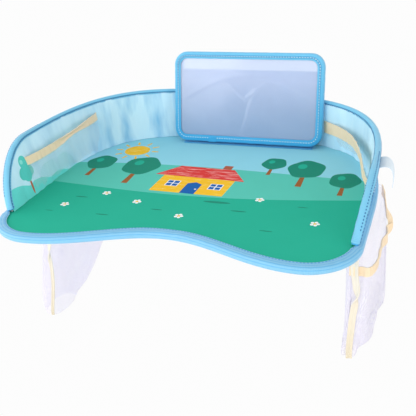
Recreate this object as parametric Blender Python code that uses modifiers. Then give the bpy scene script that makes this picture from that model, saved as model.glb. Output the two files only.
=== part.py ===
"""Car seat tray table: a cloth covered play tray with a soft wall, a tablet
holder, inner pockets, hanging net bags and a seat strap.

Units are metres. The origin is the middle of the tray's underside, +X points
to the right of the child, +Y to the back of the tray and +Z up.
"""
import math

import bmesh
import bpy
import numpy as np
from mathutils import Matrix, Vector

# Fits and cloths
clearance = 0.0003
cloth = 0.0008
elastic_thickness = 0.0012

# Tray outline, inside its binding
tray_width = 0.378
tray_length = 0.312
belly_depth = 0.038
lobe_radius_side = 0.043
lobe_radius_front = 0.044
back_curve_length = 0.21
back_curve_exponent = 3.3

# Tray layers and the binding round them
core_thickness = 0.0028
edge_width = 0.0095
edge_corner = 0.002
edge_slack = 0.0006
flap_change_length = 0.009
resting_inset = 0.03
crown_slope_length = 0.002
underside_crown = 0.0002

# Wall
foam_thickness = 0.001
wall_height = 0.0575
wall_height_lean = 0.005
wall_end_height = 0.003
wall_rise_length = 0.0735
wall_rise_exponent = 0.7
wall_lean_back_share = 0.16
wall_lean_front_share = 0.29
wall_lean_change_length = 0.25
right_upright_share = 0.1

# Wire and binding of the wall's rim
rim_wire_radius = 0.0009
rim_leg = 0.002

# Inner pockets, measured along the wall from its front end
left_pocket_front_distance = 0.052
left_pocket_back_distance = 0.198
left_pocket_front_height = 0.044
left_pocket_back_height = 0.051
right_pocket_front_distance = 0.075
right_pocket_back_distance = 0.285
right_pocket_front_height = 0.036
right_pocket_back_height = 0.034
pocket_floor_height = 0.002
pocket_bulge = 0.0135
pocket_bulge_exponent = 0.6
pocket_elastic_width = 0.0135

# Tablet holder
holder_width = 0.199
holder_height = 0.117
holder_depth = 0.011
holder_corner = 0.0175
holder_border = 0.0086
holder_edge = 0.001
holder_edge_round = 0.0022
holder_centre_x = 0.0145
holder_setback = 0.031
holder_lean_degrees = 12.0
holder_slot = 0.014
window_thickness = 0.0008
hinge_tape_length = 0.016
hinge_tape_margin = 0.012

# Hook and loop fastening behind the holder
hook_thickness = 0.0012
hook_width = 0.022
hook_height = 0.02
hook_spread = 0.1
hook_low = 0.03
loop_flange = 0.012

# Hanging net bags
bag_depth = 0.163
bag_front_slope = 0.03
bag_half_thickness = 0.0185
bag_bottom_half_thickness = 0.004
bag_droop = 0.056
bag_droop_turn_degrees = 20.0
bag_droop_exponent = 1.4
bag_front_round_exponent = 12.0
bag_fullness_exponent = 3.0
bag_seam_inset = 0.0265
bag_elastic_width = 0.013
bag_tape_width = 0.008
bag_tape_thickness = 0.0024
bag_tape_top_share = 0.01
bag_tape_bottom_share = 0.86
bag_tape_steps = 6

# Each bag hangs in its own way: where it begins, ends and is lowest
left_bag_front_y = -0.04
left_bag_rear_y = 0.093
left_bag_lowest_y = -0.05
left_bag_rear_round_exponent = 2.5
right_bag_front_y = -0.06
right_bag_rear_y = 0.088
right_bag_lowest_y = -0.036
right_bag_rear_round_exponent = 4.2

# Seat strap
strap_width = 0.02
strap_thickness = 0.0012
strap_height = 0.031
strap_front_distance = 0.085
strap_tail = 0.062
socket_tail = 0.03
patch_length = 0.03
patch_margin = 0.006
tab_reach = 0.019
tab_drop = 0.024
tab_rise = 0.005

# Side release buckle
buckle_width = 0.026
buckle_thickness = 0.009
socket_length = 0.028
cavity_width = 0.021
cavity_thickness = 0.005
cavity_floor = 0.004
window_length = 0.011
window_start = 0.0105
ear_width = 0.0024
ear_length = 0.0085
bar_radius = 0.0014
shoulder_length = 0.004
guide_width = 0.003
guide_length = 0.02
prong_thickness = 0.0036
prong_width = 0.0025
prong_gap = 0.013
prong_length = 0.0212
prong_head_length = 0.0085
prong_head_slope_length = 0.0028
prong_head_proud = 0.0008
buckle_round = 0.0008

# Keeper that holds the strap's tail
keeper_length = 0.008
keeper_wall = 0.0016
keeper_play = 0.0004
keeper_distance = 0.034

# Mesh counts
wall_steps = 58
foot_steps = 400
lobe_steps = 8
belly_steps = 22
station_bias_share = 0.7
pocket_steps = 14
pocket_rows = 5
elastic_rows = 3
tab_steps = 4
bag_turn_steps = 20
strap_steps = 22
patch_steps = 5
bag_row_shares = (0.0, 0.14, 0.3, 0.48, 0.66, 0.82, 0.92, 0.97)

tray_half_width = tray_width / 2
tray_half_length = tray_length / 2
bottom_cover_top = cloth
core_bottom = bottom_cover_top + clearance
core_top = core_bottom + core_thickness
sheet_bottom = core_top + clearance
tray_top = sheet_bottom + cloth
wall_thickness = 2 * cloth + foam_thickness + 2 * clearance
wall_foot = tray_top + clearance
lobe_centre_y = lobe_radius_front - tray_half_length
back_centre_y = tray_half_length - back_curve_length
binding_bottom = -clearance - cloth
binding_top = tray_top + clearance + cloth

colours = {
    "print_cloth": (0.154, 0.465, 0.300),
    "light_blue_cloth": (0.430, 0.720, 0.930),
    "binding_blue": (0.180, 0.520, 0.830),
    "board": (0.800, 0.800, 0.780),
    "foam": (0.900, 0.900, 0.900),
    "wire": (0.600, 0.600, 0.620),
    "net": (0.860, 0.860, 0.950),
    "beige_elastic": (0.870, 0.680, 0.400),
    "clear_film": (0.550, 0.660, 0.850),
    "hook_tape": (0.850, 0.870, 0.900),
    "webbing": (0.300, 0.600, 0.850),
    "buckle_plastic": (0.120, 0.420, 0.720),
}
roughness = {"clear_film": 0.15, "buckle_plastic": 0.35, "wire": 0.35}
metal_slots = ("wire",)


def clear_scene():
    for item in list(bpy.data.objects):
        bpy.data.objects.remove(item, do_unlink=True)


def make_collection(name):
    group = bpy.data.collections.new(name)
    bpy.context.scene.collection.children.link(group)
    return group


def material(slot):
    found = bpy.data.materials.get(slot)
    if found:
        return found
    made = bpy.data.materials.new(slot)
    made.use_nodes = True
    shader = made.node_tree.nodes["Principled BSDF"]
    shader.inputs["Base Color"].default_value = (*colours[slot], 1.0)
    shader.inputs["Roughness"].default_value = roughness.get(slot, 0.85)
    shader.inputs["Metallic"].default_value = 1.0 if slot in metal_slots else 0.0
    return made


def add_part(name, data, slot, parent=None):
    made = bpy.data.objects.new(name, data)
    data.materials.clear()
    data.materials.append(material(slot))
    parts.objects.link(made)
    made.parent = parent
    return made


def add_empty(name, place, rotation=(0.0, 0.0, 0.0)):
    made = bpy.data.objects.new(name, None)
    made.location = place
    made.rotation_euler = rotation
    parts.objects.link(made)
    return made


def smooth(item, degrees=40.0):
    item.data.shade_smooth()
    item.data.set_sharp_from_angle(angle=math.radians(degrees))


def surface_mesh(name, rows):
    """An open cloth surface through rows of points."""
    shape = bmesh.new()
    grid = [[shape.verts.new(point) for point in row] for row in rows]
    for low, high in zip(grid, grid[1:]):
        for left in range(len(low) - 1):
            shape.faces.new((low[left], low[left + 1], high[left + 1], high[left]))
    data = bpy.data.meshes.new(name)
    shape.to_mesh(data)
    shape.free()
    return data


def cloth_part(name, rows, thickness, slot, parent=None):
    """A cloth surface with its thickness shared to both sides."""
    item = add_part(name, surface_mesh(name, rows), slot, parent)
    thicken = item.modifiers.new("thickness", "SOLIDIFY")
    thicken.thickness = thickness
    thicken.offset = 0.0
    smooth(item)
    return item


def lofted_mesh(name, rings, closed=False):
    """A solid through equal sections, joined end to end when closed."""
    shape = bmesh.new()
    loops = [[shape.verts.new(point) for point in ring] for ring in rings]
    count = len(loops[0])
    pairs = list(zip(loops, loops[1:]))
    if closed:
        pairs.append((loops[-1], loops[0]))
    for first, second in pairs:
        for here in range(count):
            there = (here + 1) % count
            shape.faces.new((first[here], first[there], second[there], second[here]))
    if not closed:
        shape.faces.new(list(reversed(loops[0])))
        shape.faces.new(loops[-1])
    bmesh.ops.recalc_face_normals(shape, faces=shape.faces)
    data = bpy.data.meshes.new(name)
    shape.to_mesh(data)
    shape.free()
    return data


def flat_part(name, outline, low, high, slot):
    """A flat sheet between two heights, cut to an outline."""
    data = bpy.data.curves.new(name, "CURVE")
    data.dimensions = "2D"
    data.fill_mode = "BOTH"
    data.extrude = (high - low) / 2
    line = data.splines.new("POLY")
    line.points.add(len(outline) - 1)
    for point, (across, along) in zip(line.points, outline):
        point.co = (across, along, 0.0, 1.0)
    line.use_cyclic_u = True
    item = add_part(name, data, slot)
    item.location.z = (low + high) / 2
    return item


def box(name, low, high, slot=None, parent=None):
    """A box between two corners, as a part or, with no slot, as a tool."""
    size = [far - near for near, far in zip(low, high)]
    middle = [(far + near) / 2 for near, far in zip(low, high)]
    shape = bmesh.new()
    bmesh.ops.create_cube(shape, size=1.0)
    bmesh.ops.scale(shape, vec=size, verts=shape.verts)
    bmesh.ops.translate(shape, vec=middle, verts=shape.verts)
    data = bpy.data.meshes.new(name)
    shape.to_mesh(data)
    shape.free()
    if slot:
        return add_part(name, data, slot, parent)
    return add_tool(name, data, parent)


def bar(name, radius, length, place, parent):
    """A round bar along Z, as a tool to be joined."""
    shape = bmesh.new()
    bmesh.ops.create_cone(shape, cap_ends=True, segments=16, radius1=radius,
                          radius2=radius, depth=length)
    bmesh.ops.translate(shape, vec=place, verts=shape.verts)
    data = bpy.data.meshes.new(name)
    shape.to_mesh(data)
    shape.free()
    return add_tool(name, data, parent)


def add_tool(name, data, parent):
    made = bpy.data.objects.new(name, data)
    made.hide_render = True
    made.display_type = "WIRE"
    tools.objects.link(made)
    made.parent = parent
    return made


def combine(item, tool, operation):
    change = item.modifiers.new(tool.name, "BOOLEAN")
    change.object = tool
    change.operation = operation
    change.solver = "EXACT"


def round_edges(item, width):
    change = item.modifiers.new("rounded edges", "BEVEL")
    change.width = width
    change.segments = 2
    change.limit_method = "ANGLE"


def ease(share):
    """Smooth step from 0 to 1."""
    share = min(max(share, 0.0), 1.0)
    return share * share * (3 - 2 * share)


def foot_curve():
    """The wall's foot from its right end round the back to its left end."""
    turn = np.linspace(0.0, math.pi / 2, foot_steps)
    power = 2 / back_curve_exponent
    across = tray_half_width * np.cos(turn) ** power
    along = back_centre_y + back_curve_length * np.sin(turn) ** power
    across[-1] = 0.0
    side = np.linspace(lobe_centre_y, back_centre_y, foot_steps // 4)[:-1]
    right = np.vstack([np.c_[np.full(len(side), tray_half_width), side],
                       np.c_[across, along]])
    left = right[-2::-1] * [-1, 1]
    return np.vstack([right, left])


foot = foot_curve()
foot_run = np.r_[0.0, np.cumsum(np.hypot(*np.diff(foot, axis=0).T))]
wall_length = foot_run[-1]
foot_tangent = np.gradient(foot, foot_run, axis=0)
foot_normal = np.c_[foot_tangent[:, 1], -foot_tangent[:, 0]]
foot_normal /= np.linalg.norm(foot_normal, axis=1)[:, None]


def foot_at(run):
    """Point and outward normal of the wall's foot at a run along it."""
    point = [np.interp(run, foot_run, foot[:, axis]) for axis in (0, 1)]
    normal = [np.interp(run, foot_run, foot_normal[:, axis]) for axis in (0, 1)]
    size = math.hypot(*normal)
    return point, (normal[0] / size, normal[1] / size)


def run_at_x(across):
    """Run along the foot at which the back of the wall has this x."""
    back = foot[:, 1] > back_centre_y
    order = np.argsort(foot[back, 0])
    return float(np.interp(across, foot[back, 0][order], foot_run[back][order]))


def height_at(run):
    """Wall height, low at both ends and a little higher on the left."""
    near = min(run, wall_length - run)
    rise = 1.0
    if near < wall_rise_length:
        rise = (1 - (1 - near / wall_rise_length) ** 2) ** wall_rise_exponent
    (across, _), _ = foot_at(run)
    full = wall_height - wall_height_lean * across / tray_half_width
    return wall_end_height + (full - wall_end_height) * rise


def lean_at(run):
    """Outward lean of the wall, as a share of its height, less on the right."""
    near = min(run, wall_length - run)
    front = 1 - ease(near / wall_lean_change_length)
    lean = wall_lean_back_share + (wall_lean_front_share - wall_lean_back_share) * front
    (across, _), _ = foot_at(run)
    return lean - right_upright_share * max(across, 0.0) / tray_half_width


def wall_point(run, height, offset):
    """Point at a height on the wall, offset outwards from its inner face."""
    (across, along), (out_x, out_y) = foot_at(run)
    reach = offset + lean_at(run) * height
    return Vector((across + out_x * reach, along + out_y * reach, wall_foot + height))


def wall_axes(run):
    """Outward and upward directions of the wall's face."""
    _, (out_x, out_y) = foot_at(run)
    lean = lean_at(run)
    out = Vector((out_x, out_y, -lean)).normalized()
    up = Vector((out_x * lean, out_y * lean, 1.0)).normalized()
    return out, up


def wall_stations():
    """Runs along the wall, closer together near its steep ends."""
    shares = np.linspace(0.0, 1.0, wall_steps + 1)
    bunched = shares - station_bias_share * np.sin(math.tau * shares) / math.tau
    return [float(run) for run in bunched * wall_length]


stations = wall_stations()


def front_edge():
    """Left lobe, belly curve and right lobe, as points with normals."""
    points = []
    for step in range(1, lobe_steps):
        turn = math.pi + math.pi / 2 * step / lobe_steps
        points.append((lobe_radius_side - tray_half_width + lobe_radius_side * math.cos(turn),
                       lobe_centre_y + lobe_radius_front * math.sin(turn)))
    reach = tray_half_width - lobe_radius_side
    for step in range(belly_steps + 1):
        across = reach * (2 * step / belly_steps - 1)
        rise = belly_depth * (1 + math.cos(math.pi * across / reach)) / 2
        points.append((across, rise - tray_half_length))
    for step in range(1, lobe_steps):
        turn = -math.pi / 2 + math.pi / 2 * step / lobe_steps
        points.append((reach + lobe_radius_side * math.cos(turn),
                       lobe_centre_y + lobe_radius_front * math.sin(turn)))
    return points


def tray_outline():
    """Every outline point of the tray with its outward normal and how far
    it lies in front of the wall, 0 along the wall itself."""
    points = [foot_at(run)[0] for run in stations] + front_edge()
    line = np.array(points)
    ahead = np.roll(line, -1, axis=0) - line
    behind = line - np.roll(line, 1, axis=0)
    tangent = ahead / np.linalg.norm(ahead, axis=1)[:, None]
    tangent += behind / np.linalg.norm(behind, axis=1)[:, None]
    normal = np.c_[tangent[:, 1], -tangent[:, 0]]
    normal /= np.linalg.norm(normal, axis=1)[:, None]
    past = np.maximum(0.0, lobe_centre_y - line[:, 1])
    return line, normal, past


outline, outline_normal, outline_past = tray_outline()


def offset_outline(distance):
    return [tuple(point) for point in outline + outline_normal * distance]


def build_tray():
    """Bottom cover, stiff core, printed top sheet and the binding."""
    cloth_edge = edge_width - cloth - edge_slack
    rings = []
    for distance, height in ((-resting_inset, 0.0),
                             (crown_slope_length - resting_inset, underside_crown),
                             (cloth_edge, underside_crown), (cloth_edge, bottom_cover_top)):
        rings.append([(across, along, height) for across, along in offset_outline(distance)])
    add_part("bottom_cover", lofted_mesh("bottom_cover", rings), "light_blue_cloth")
    flat_part("board_core", offset_outline(cloth_edge), core_bottom, core_top, "board")
    flat_part("printed_top_sheet", offset_outline(cloth_edge), sheet_bottom, tray_top,
              "print_cloth")
    rings = []
    for (across, along), (out_x, out_y), past in zip(outline, outline_normal, outline_past):
        beside_wall = wall_thickness + 2 * clearance
        flap = beside_wall * (1 - ease(past / flap_change_length))
        ring = [(across + out_x * reach, along + out_y * reach, height)
                for reach, height in binding_section(flap)]
        rings.append(ring)
    item = add_part("base_binding", lofted_mesh("base_binding", rings, True), "binding_blue")
    smooth(item, 50.0)


def binding_section(flap):
    """Folded tape round the tray's edge, from its top flap's inner edge."""
    inside = edge_width - cloth
    top_inside = binding_top - cloth
    bottom_inside = binding_bottom + cloth
    section = [(flap, binding_top)]
    for degrees in (90.0, 45.0, 0.0):
        turn = math.radians(degrees)
        section.append((edge_width - edge_corner + edge_corner * math.cos(turn),
                        binding_top - edge_corner + edge_corner * math.sin(turn)))
    for degrees in (0.0, -45.0, -90.0):
        turn = math.radians(degrees)
        section.append((edge_width - edge_corner + edge_corner * math.cos(turn),
                        binding_bottom + edge_corner + edge_corner * math.sin(turn)))
    section += [(0.0, binding_bottom), (0.0, bottom_inside), (inside, bottom_inside),
                (inside, top_inside), (flap, top_inside)]
    return section


def build_wall():
    """Lining, foam and outer cover of the wall."""
    layers = (
        ("wall_lining", cloth / 2, cloth, 5, "light_blue_cloth"),
        ("wall_foam", wall_thickness / 2, foam_thickness, 2, "foam"),
        ("wall_cover", wall_thickness - cloth / 2, cloth, 3, "light_blue_cloth"),
    )
    for name, offset, thickness, steps, slot in layers:
        rows = [[wall_point(run, height_at(run) * step / steps, offset) for run in stations]
                for step in range(steps + 1)]
        cloth_part(name, rows, thickness, slot)


def rim_frames():
    """Centre, outward and upward direction of the rim at each station."""
    line = [wall_point(run, height_at(run), wall_thickness / 2) for run in stations]
    frames = []
    for here, run in enumerate(stations):
        ahead = line[min(here + 1, len(line) - 1)]
        behind = line[max(here - 1, 0)]
        along = (ahead - behind).normalized()
        out, _ = wall_axes(run)
        out = (out - along * out.dot(along)).normalized()
        frames.append((line[here], out, out.cross(along)))
    return frames


def build_rim():
    """Spring wire on the wall's edge and the tape folded over both."""
    inner = wall_thickness / 2 + clearance
    outer = inner + cloth
    wire_centre = clearance + rim_wire_radius
    arc_centre = 2 * (clearance + rim_wire_radius) - inner
    section = [(outer, -rim_leg)]
    for degrees in (0.0, 45.0, 90.0, 135.0, 180.0):
        turn = math.radians(degrees)
        section.append((outer * math.cos(turn), arc_centre + outer * math.sin(turn)))
    section += [(-outer, -rim_leg), (-inner, -rim_leg)]
    for degrees in (180.0, 135.0, 90.0, 45.0, 0.0):
        turn = math.radians(degrees)
        section.append((inner * math.cos(turn), arc_centre + inner * math.sin(turn)))
    section.append((inner, -rim_leg))
    frames = rim_frames()
    rings = [[centre + out * across + up * rise for across, rise in section]
             for centre, out, up in frames]
    item = add_part("rim_binding", lofted_mesh("rim_binding", rings), "binding_blue")
    smooth(item, 50.0)
    path = [centre + up * wire_centre for centre, out, up in frames]
    wire = bpy.data.curves.new("rim_wire", "CURVE")
    wire.dimensions = "3D"
    wire.bevel_depth = rim_wire_radius
    wire.bevel_resolution = 1
    wire.use_fill_caps = True
    line = wire.splines.new("POLY")
    line.points.add(len(path) - 1)
    for point, place in zip(line.points, path):
        point.co = (*place, 1.0)
    add_part("rim_wire", wire, "wire")


def build_pocket(side, front, back, front_height, back_height):
    """Net pocket on the wall's inside and the elastic along its mouth."""
    label = "right" if side > 0 else "left"
    columns = []
    for share in np.linspace(0.0, 1.0, pocket_steps + 1):
        near = front + (back - front) * share
        run = near if side > 0 else wall_length - near
        mouth = front_height + (back_height - front_height) * share
        bulge = pocket_bulge * math.sin(math.pi * share) ** pocket_bulge_exponent
        columns.append((run, mouth, bulge))
    if side < 0:
        columns.reverse()
    rows = []
    for height_share in np.linspace(0.0, 1.0, pocket_rows):
        rows.append([pocket_point(run, mouth, bulge, height_share, 0.0)
                     for run, mouth, bulge in columns])
    cloth_part("inner_pocket_net_" + label, rows, cloth, "net")
    away = cloth / 2 + clearance + elastic_thickness / 2
    rows = []
    for width_share in np.linspace(1.0, 0.0, elastic_rows):
        row = []
        for run, mouth, bulge in columns:
            elastic_share = pocket_elastic_width / (mouth - pocket_floor_height)
            height_share = 1 - elastic_share * width_share
            row.append(pocket_point(run, mouth, bulge, height_share, away))
        rows.append(row)
    cloth_part("inner_pocket_elastic_" + label, rows, elastic_thickness, "beige_elastic")


def pocket_point(run, mouth, bulge, height_share, away):
    """Point on a pocket's net, which stands off the wall towards its mouth."""
    height = pocket_floor_height + (mouth - pocket_floor_height) * height_share
    stand_off = clearance * 2 + cloth / 2 + bulge * math.sin(height_share * math.pi / 2)
    return wall_point(run, height, -stand_off - away)


def rounded_rectangle(width, low, high, corner, steps=5):
    """Corner points of a rounded rectangle, anticlockwise from lower right."""
    half = width / 2
    corners = ((half - corner, low + corner, -90.0), (half - corner, high - corner, 0.0),
               (corner - half, high - corner, 90.0), (corner - half, low + corner, 180.0))
    points = []
    for across, rise, start in corners:
        for step in range(steps + 1):
            turn = math.radians(start + 90.0 * step / steps)
            points.append((across + corner * math.cos(turn), rise + corner * math.sin(turn)))
    return points


def upright_sheet(name, outline_points, front, back, slot, parent):
    """A flat sheet of the holder, cut to an outline, at a depth."""
    rings = [[(across, depth, rise) for across, rise in outline_points]
             for depth in (front, back)]
    return add_part(name, lofted_mesh(name, rings), slot, parent)


def build_holder():
    """Tablet holder: bound frame, clear window, back panel and hook pads."""
    foot_z = tray_top + 2 * clearance + cloth + clearance
    lean = math.radians(holder_lean_degrees)
    hinge = Vector((holder_centre_x, tray_half_length - holder_setback,
                    foot_z + holder_depth * math.sin(lean)))
    fold = add_empty("holder_fold_axis", hinge, (-lean, 0.0, 0.0))
    turned = Matrix.Translation(hinge) @ Matrix.Rotation(-lean, 4, "X")

    section = holder_section()
    outer = rounded_rectangle(holder_width, 0.0, holder_height, holder_corner)
    rings = []
    for here, (across, rise) in enumerate(outer):
        corner_x = math.copysign(holder_width / 2 - holder_corner, across)
        corner_z = holder_corner if rise < holder_height / 2 else holder_height - holder_corner
        inward = Vector((corner_x - across, 0.0, corner_z - rise)).normalized()
        place = Vector((across, 0.0, rise))
        rings.append([place + inward * reach + Vector((0.0, depth, 0.0))
                      for reach, depth in section])
    frame = add_part("holder_binding", lofted_mesh("holder_binding", rings, True),
                     "binding_blue", fold)
    smooth(frame, 50.0)

    margin = holder_edge + clearance
    sheet_corner = holder_corner - margin
    window_front = cloth + clearance
    window_back = window_front + window_thickness
    inner_width = holder_width - 2 * margin
    upright_sheet("holder_window",
                  rounded_rectangle(inner_width, margin, holder_height - margin, sheet_corner),
                  window_front, window_back, "clear_film", fold)
    panel_back = holder_depth - cloth - clearance
    panel_front = panel_back - cloth
    panel_top = holder_height - holder_border - holder_slot
    lower = rounded_rectangle(inner_width, margin, holder_height - margin, sheet_corner)
    outline_points = [point for point in lower if point[1] < panel_top]
    half = len(outline_points) // 2
    outline_points = (outline_points[:half] + [(inner_width / 2, panel_top),
                      (-inner_width / 2, panel_top)] + outline_points[half:])
    upright_sheet("holder_back_panel", outline_points, panel_front, panel_back,
                  "light_blue_cloth", fold)

    hook_front = panel_back + clearance
    hook_back = hook_front + hook_thickness
    for label, side in (("left", -1), ("right", 1)):
        middle = side * hook_spread / 2
        box("hook_pad_" + label, (middle - hook_width / 2, hook_front, hook_low),
            (middle + hook_width / 2, hook_back, hook_low + hook_height), "hook_tape", fold)
        build_loop_tab(label, middle, turned, hook_back)
    build_hinge_tape(hinge, foot_z)


def holder_section():
    """Tape folded round the holder's edge: reach inwards and depth."""
    slope = holder_edge_round * (1 - math.sqrt(0.5))
    return [(holder_border, 0.0), (holder_edge_round, 0.0), (slope, slope),
            (0.0, holder_edge_round), (0.0, holder_depth - holder_edge_round),
            (slope, holder_depth - slope), (holder_edge_round, holder_depth),
            (holder_border, holder_depth), (holder_border, holder_depth - cloth),
            (holder_edge, holder_depth - cloth), (holder_edge, cloth), (holder_border, cloth)]


def build_loop_tab(label, middle, turned, hook_back):
    """Cloth tab from the wall to the pad that the holder's hooks grip."""
    rows = []
    for share in np.linspace(-0.5, 0.5, tab_steps):
        across = middle + hook_width * share
        world_x = holder_centre_x + across
        run = run_at_x(world_x)
        depth = hook_back + clearance + cloth / 2
        pad_low = turned @ Vector((across, depth, hook_low))
        pad_high = turned @ Vector((across, depth, hook_low + hook_height))
        wall_offset = -2 * clearance - cloth
        flange_top = height_at(run) - rim_leg - cloth
        flange_low = wall_point(run, flange_top - loop_flange, wall_offset)
        flange_high = wall_point(run, flange_top, wall_offset)
        bridge = (pad_high + flange_low) / 2
        rows.append([pad_low, pad_high, bridge, flange_low, flange_high])
    rows.reverse()
    cloth_part("loop_tab_" + label, rows, cloth, "hook_tape")


def build_hinge_tape(hinge, foot_z):
    """Tape on the tray that the holder's foot is sewn to."""
    half = holder_width / 2 - hinge_tape_margin
    low = tray_top + clearance
    box("hinge_tape", (holder_centre_x - half, hinge.y, low),
        (holder_centre_x + half, hinge.y + hinge_tape_length, low + cloth), "binding_blue")


def bag_front(side, depth_share):
    """Front edge of a net bag, rounded off near its lowest point."""
    start = right_bag_front_y if side > 0 else left_bag_front_y
    lowest = right_bag_lowest_y if side > 0 else left_bag_lowest_y
    line = start - bag_front_slope * depth_share
    pull = 1 - math.sqrt(1 - depth_share ** bag_front_round_exponent)
    return line + (lowest - line) * pull


def bag_rear(side, depth_share):
    """Rear edge of a net bag, which curves in to its lowest point."""
    start = right_bag_rear_y if side > 0 else left_bag_rear_y
    lowest = right_bag_lowest_y if side > 0 else left_bag_lowest_y
    exponent = right_bag_rear_round_exponent if side > 0 else left_bag_rear_round_exponent
    pull = 1 - math.sqrt(1 - depth_share ** exponent)
    return start + (lowest - start) * pull


def bag_point(side, turn, share, away=0.0):
    """Point of a bag's skin at a turn round it and a share of its depth."""
    outside = max(0.0, math.sin(turn - math.radians(bag_droop_turn_degrees)))
    top = bag_droop * outside ** bag_droop_exponent
    drop = top + (bag_depth - top) * share
    depth_share = drop / bag_depth
    front = bag_front(side, depth_share)
    rear = bag_rear(side, depth_share)
    half = bag_bottom_half_thickness
    fullness = 1 - depth_share ** bag_fullness_exponent
    half += (bag_half_thickness - bag_bottom_half_thickness) * fullness
    reach = (rear - front) / 2
    face = Vector((math.sin(turn) / half, math.cos(turn) / reach)).normalized() * away
    out = half * (1 + math.sin(turn)) + face.x + clearance
    along = (front + rear) / 2 + reach * math.cos(turn) + face.y
    return Vector((side * out, along, -drop))


def build_bag(side):
    """Net bag that hangs from the tray's edge, open at its top."""
    label = "right" if side > 0 else "left"
    seam_x = tray_half_width + edge_width - bag_seam_inset
    axis = add_empty("bag_swing_axis_" + label, (side * seam_x, 0.0, binding_bottom - clearance))
    around = bag_turn_steps
    shape = bmesh.new()
    loops = []
    for share in bag_row_shares:
        ring = [bag_point(side, math.tau * step / around, share) for step in range(around)]
        loops.append([shape.verts.new(point) for point in ring])
    for upper, lower in zip(loops, loops[1:]):
        for here in range(around):
            there = (here + 1) % around
            shape.faces.new((upper[here], lower[here], lower[there], upper[there]))
    shape.faces.new(loops[-1])
    bmesh.ops.recalc_face_normals(shape, faces=shape.faces)
    data = bpy.data.meshes.new("bag_net_" + label)
    shape.to_mesh(data)
    shape.free()
    net = add_part("bag_net_" + label, data, "net", axis)
    thicken = net.modifiers.new("thickness", "SOLIDIFY")
    thicken.thickness = cloth
    thicken.offset = -1.0
    smooth(net)

    away = clearance * 2 + elastic_thickness / 2
    rows = []
    for row_share in np.linspace(0.0, 1.0, elastic_rows):
        row = []
        for step in range(1, around // 2 - 1):
            turn = math.tau * step / around
            upper = bag_point(side, turn, 0.0, away)
            lower = bag_point(side, turn, bag_row_shares[1], away)
            width_share = bag_elastic_width / (lower - upper).length
            row.append(upper.lerp(lower, width_share * row_share))
        rows.append(row if side > 0 else list(reversed(row)))
    cloth_part("bag_elastic_" + label, rows, elastic_thickness, "beige_elastic", axis)

    build_bag_tape(side, label, axis)


def build_bag_tape(side, label, axis):
    """Flat tape along the front edge of a net bag."""
    name = "bag_edge_tape_" + label
    middle = side * (bag_half_thickness + clearance)
    left = middle - bag_tape_thickness / 2
    right = middle + bag_tape_thickness / 2
    rings = []
    for depth_share in np.linspace(bag_tape_top_share, bag_tape_bottom_share, bag_tape_steps):
        rear = bag_front(side, depth_share) - clearance
        front = rear - bag_tape_width
        drop = -bag_depth * depth_share
        rings.append([(left, front, drop), (right, front, drop),
                      (right, rear, drop), (left, rear, drop)])
    add_part(name, lofted_mesh(name, rings), "beige_elastic", axis)


def buckle_frame():
    """Middle of the buckle behind the wall and its outward and up axes."""
    run = wall_length / 2
    out, up = wall_axes(run)
    offset = wall_thickness + 2 * clearance + buckle_thickness / 2
    return wall_point(run, strap_height, offset), out, up


def leg_offset():
    """Distance of each strap leg from the buckle's middle plane."""
    return bar_radius + clearance + strap_thickness / 2


def build_strap(side, bar_x, tail, name):
    """Webbing sewn to the wall's side, pulled straight to the buckle and
    looped round its bar."""
    middle, out, up = buckle_frame()
    side_points = []
    for share in np.linspace(0.0, 1.0, strap_steps):
        near = strap_front_distance + (wall_length / 2 - strap_front_distance) * share
        run = near if side > 0 else wall_length - near
        offset = wall_thickness + 2 * clearance + strap_thickness / 2
        place = wall_point(run, strap_height, offset)
        side_out, side_up = wall_axes(run)
        side_points.append((place, side_out, side_up))
    leg = leg_offset()
    start = middle + Vector((side * (abs(bar_x) + tail), 0.0, 0.0)) - out * leg
    start_entry = (start, out, up)
    beyond = [entry for entry in side_points if abs(entry[0].x) > abs(start.x)]
    path = taut_side(beyond, start_entry, side)
    centre = middle + Vector((bar_x, 0.0, 0.0))
    path.append((centre - out * leg, out, up))
    for degrees in (-120.0, -150.0, 180.0, 150.0, 120.0, 90.0):
        turn = math.radians(degrees)
        radial = Vector((side * math.cos(turn), 0.0, 0.0)) + out * math.sin(turn)
        path.append((centre + radial * leg, -radial, up))
    path.append((centre + Vector((side * tail, 0.0, 0.0)) + out * leg, -out, up))
    half_width = strap_width / 2
    half = strap_thickness / 2
    rings = []
    for place, across, rise in path:
        rings.append([place - across * half - rise * half_width,
                      place + across * half - rise * half_width,
                      place + across * half + rise * half_width,
                      place - across * half + rise * half_width])
    item = add_part(name, lofted_mesh(name, rings), "webbing")
    smooth(item, 50.0)


def taut_side(beyond, start_entry, side):
    """Path along the wall up to where the strap leaves it for the buckle."""
    path = beyond + [start_entry]
    while len(path) > 2:
        first, second, third = path[-3][0], path[-2][0], path[-1][0]
        cross = (second.x - first.x) * (third.y - first.y)
        cross -= (second.y - first.y) * (third.x - first.x)
        if cross * side > 0:
            break
        del path[-2]
    return path


def build_patch(side, name):
    """Cloth patch sewn over the strap's front end on the wall. Its upper end
    stands out from the wall as a free tab."""
    beside = wall_thickness + clearance + cloth / 2 + clearance
    over = beside + strap_thickness + 2 * clearance
    half = strap_width / 2
    levels = [(-half - patch_margin, beside), (-half - clearance, over),
              (half + clearance, over), (half + patch_margin, beside)]
    for share in np.linspace(0.0, 1.0, tab_steps + 1)[1:]:
        rise = tab_rise * math.sin(math.pi * share) - tab_drop * share ** 2
        reach = tab_reach * math.sin(math.pi / 2 * share)
        levels.append((half + patch_margin + rise, beside + reach))
    rows = []
    for rise, offset in levels:
        row = []
        for share in np.linspace(0.0, 1.0, patch_steps):
            near = strap_front_distance - patch_margin + patch_length * share
            run = near if side > 0 else wall_length - near
            row.append(wall_point(run, strap_height + rise, offset))
        rows.append(row if side > 0 else list(reversed(row)))
    cloth_part(name, rows, cloth, "light_blue_cloth")


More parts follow.
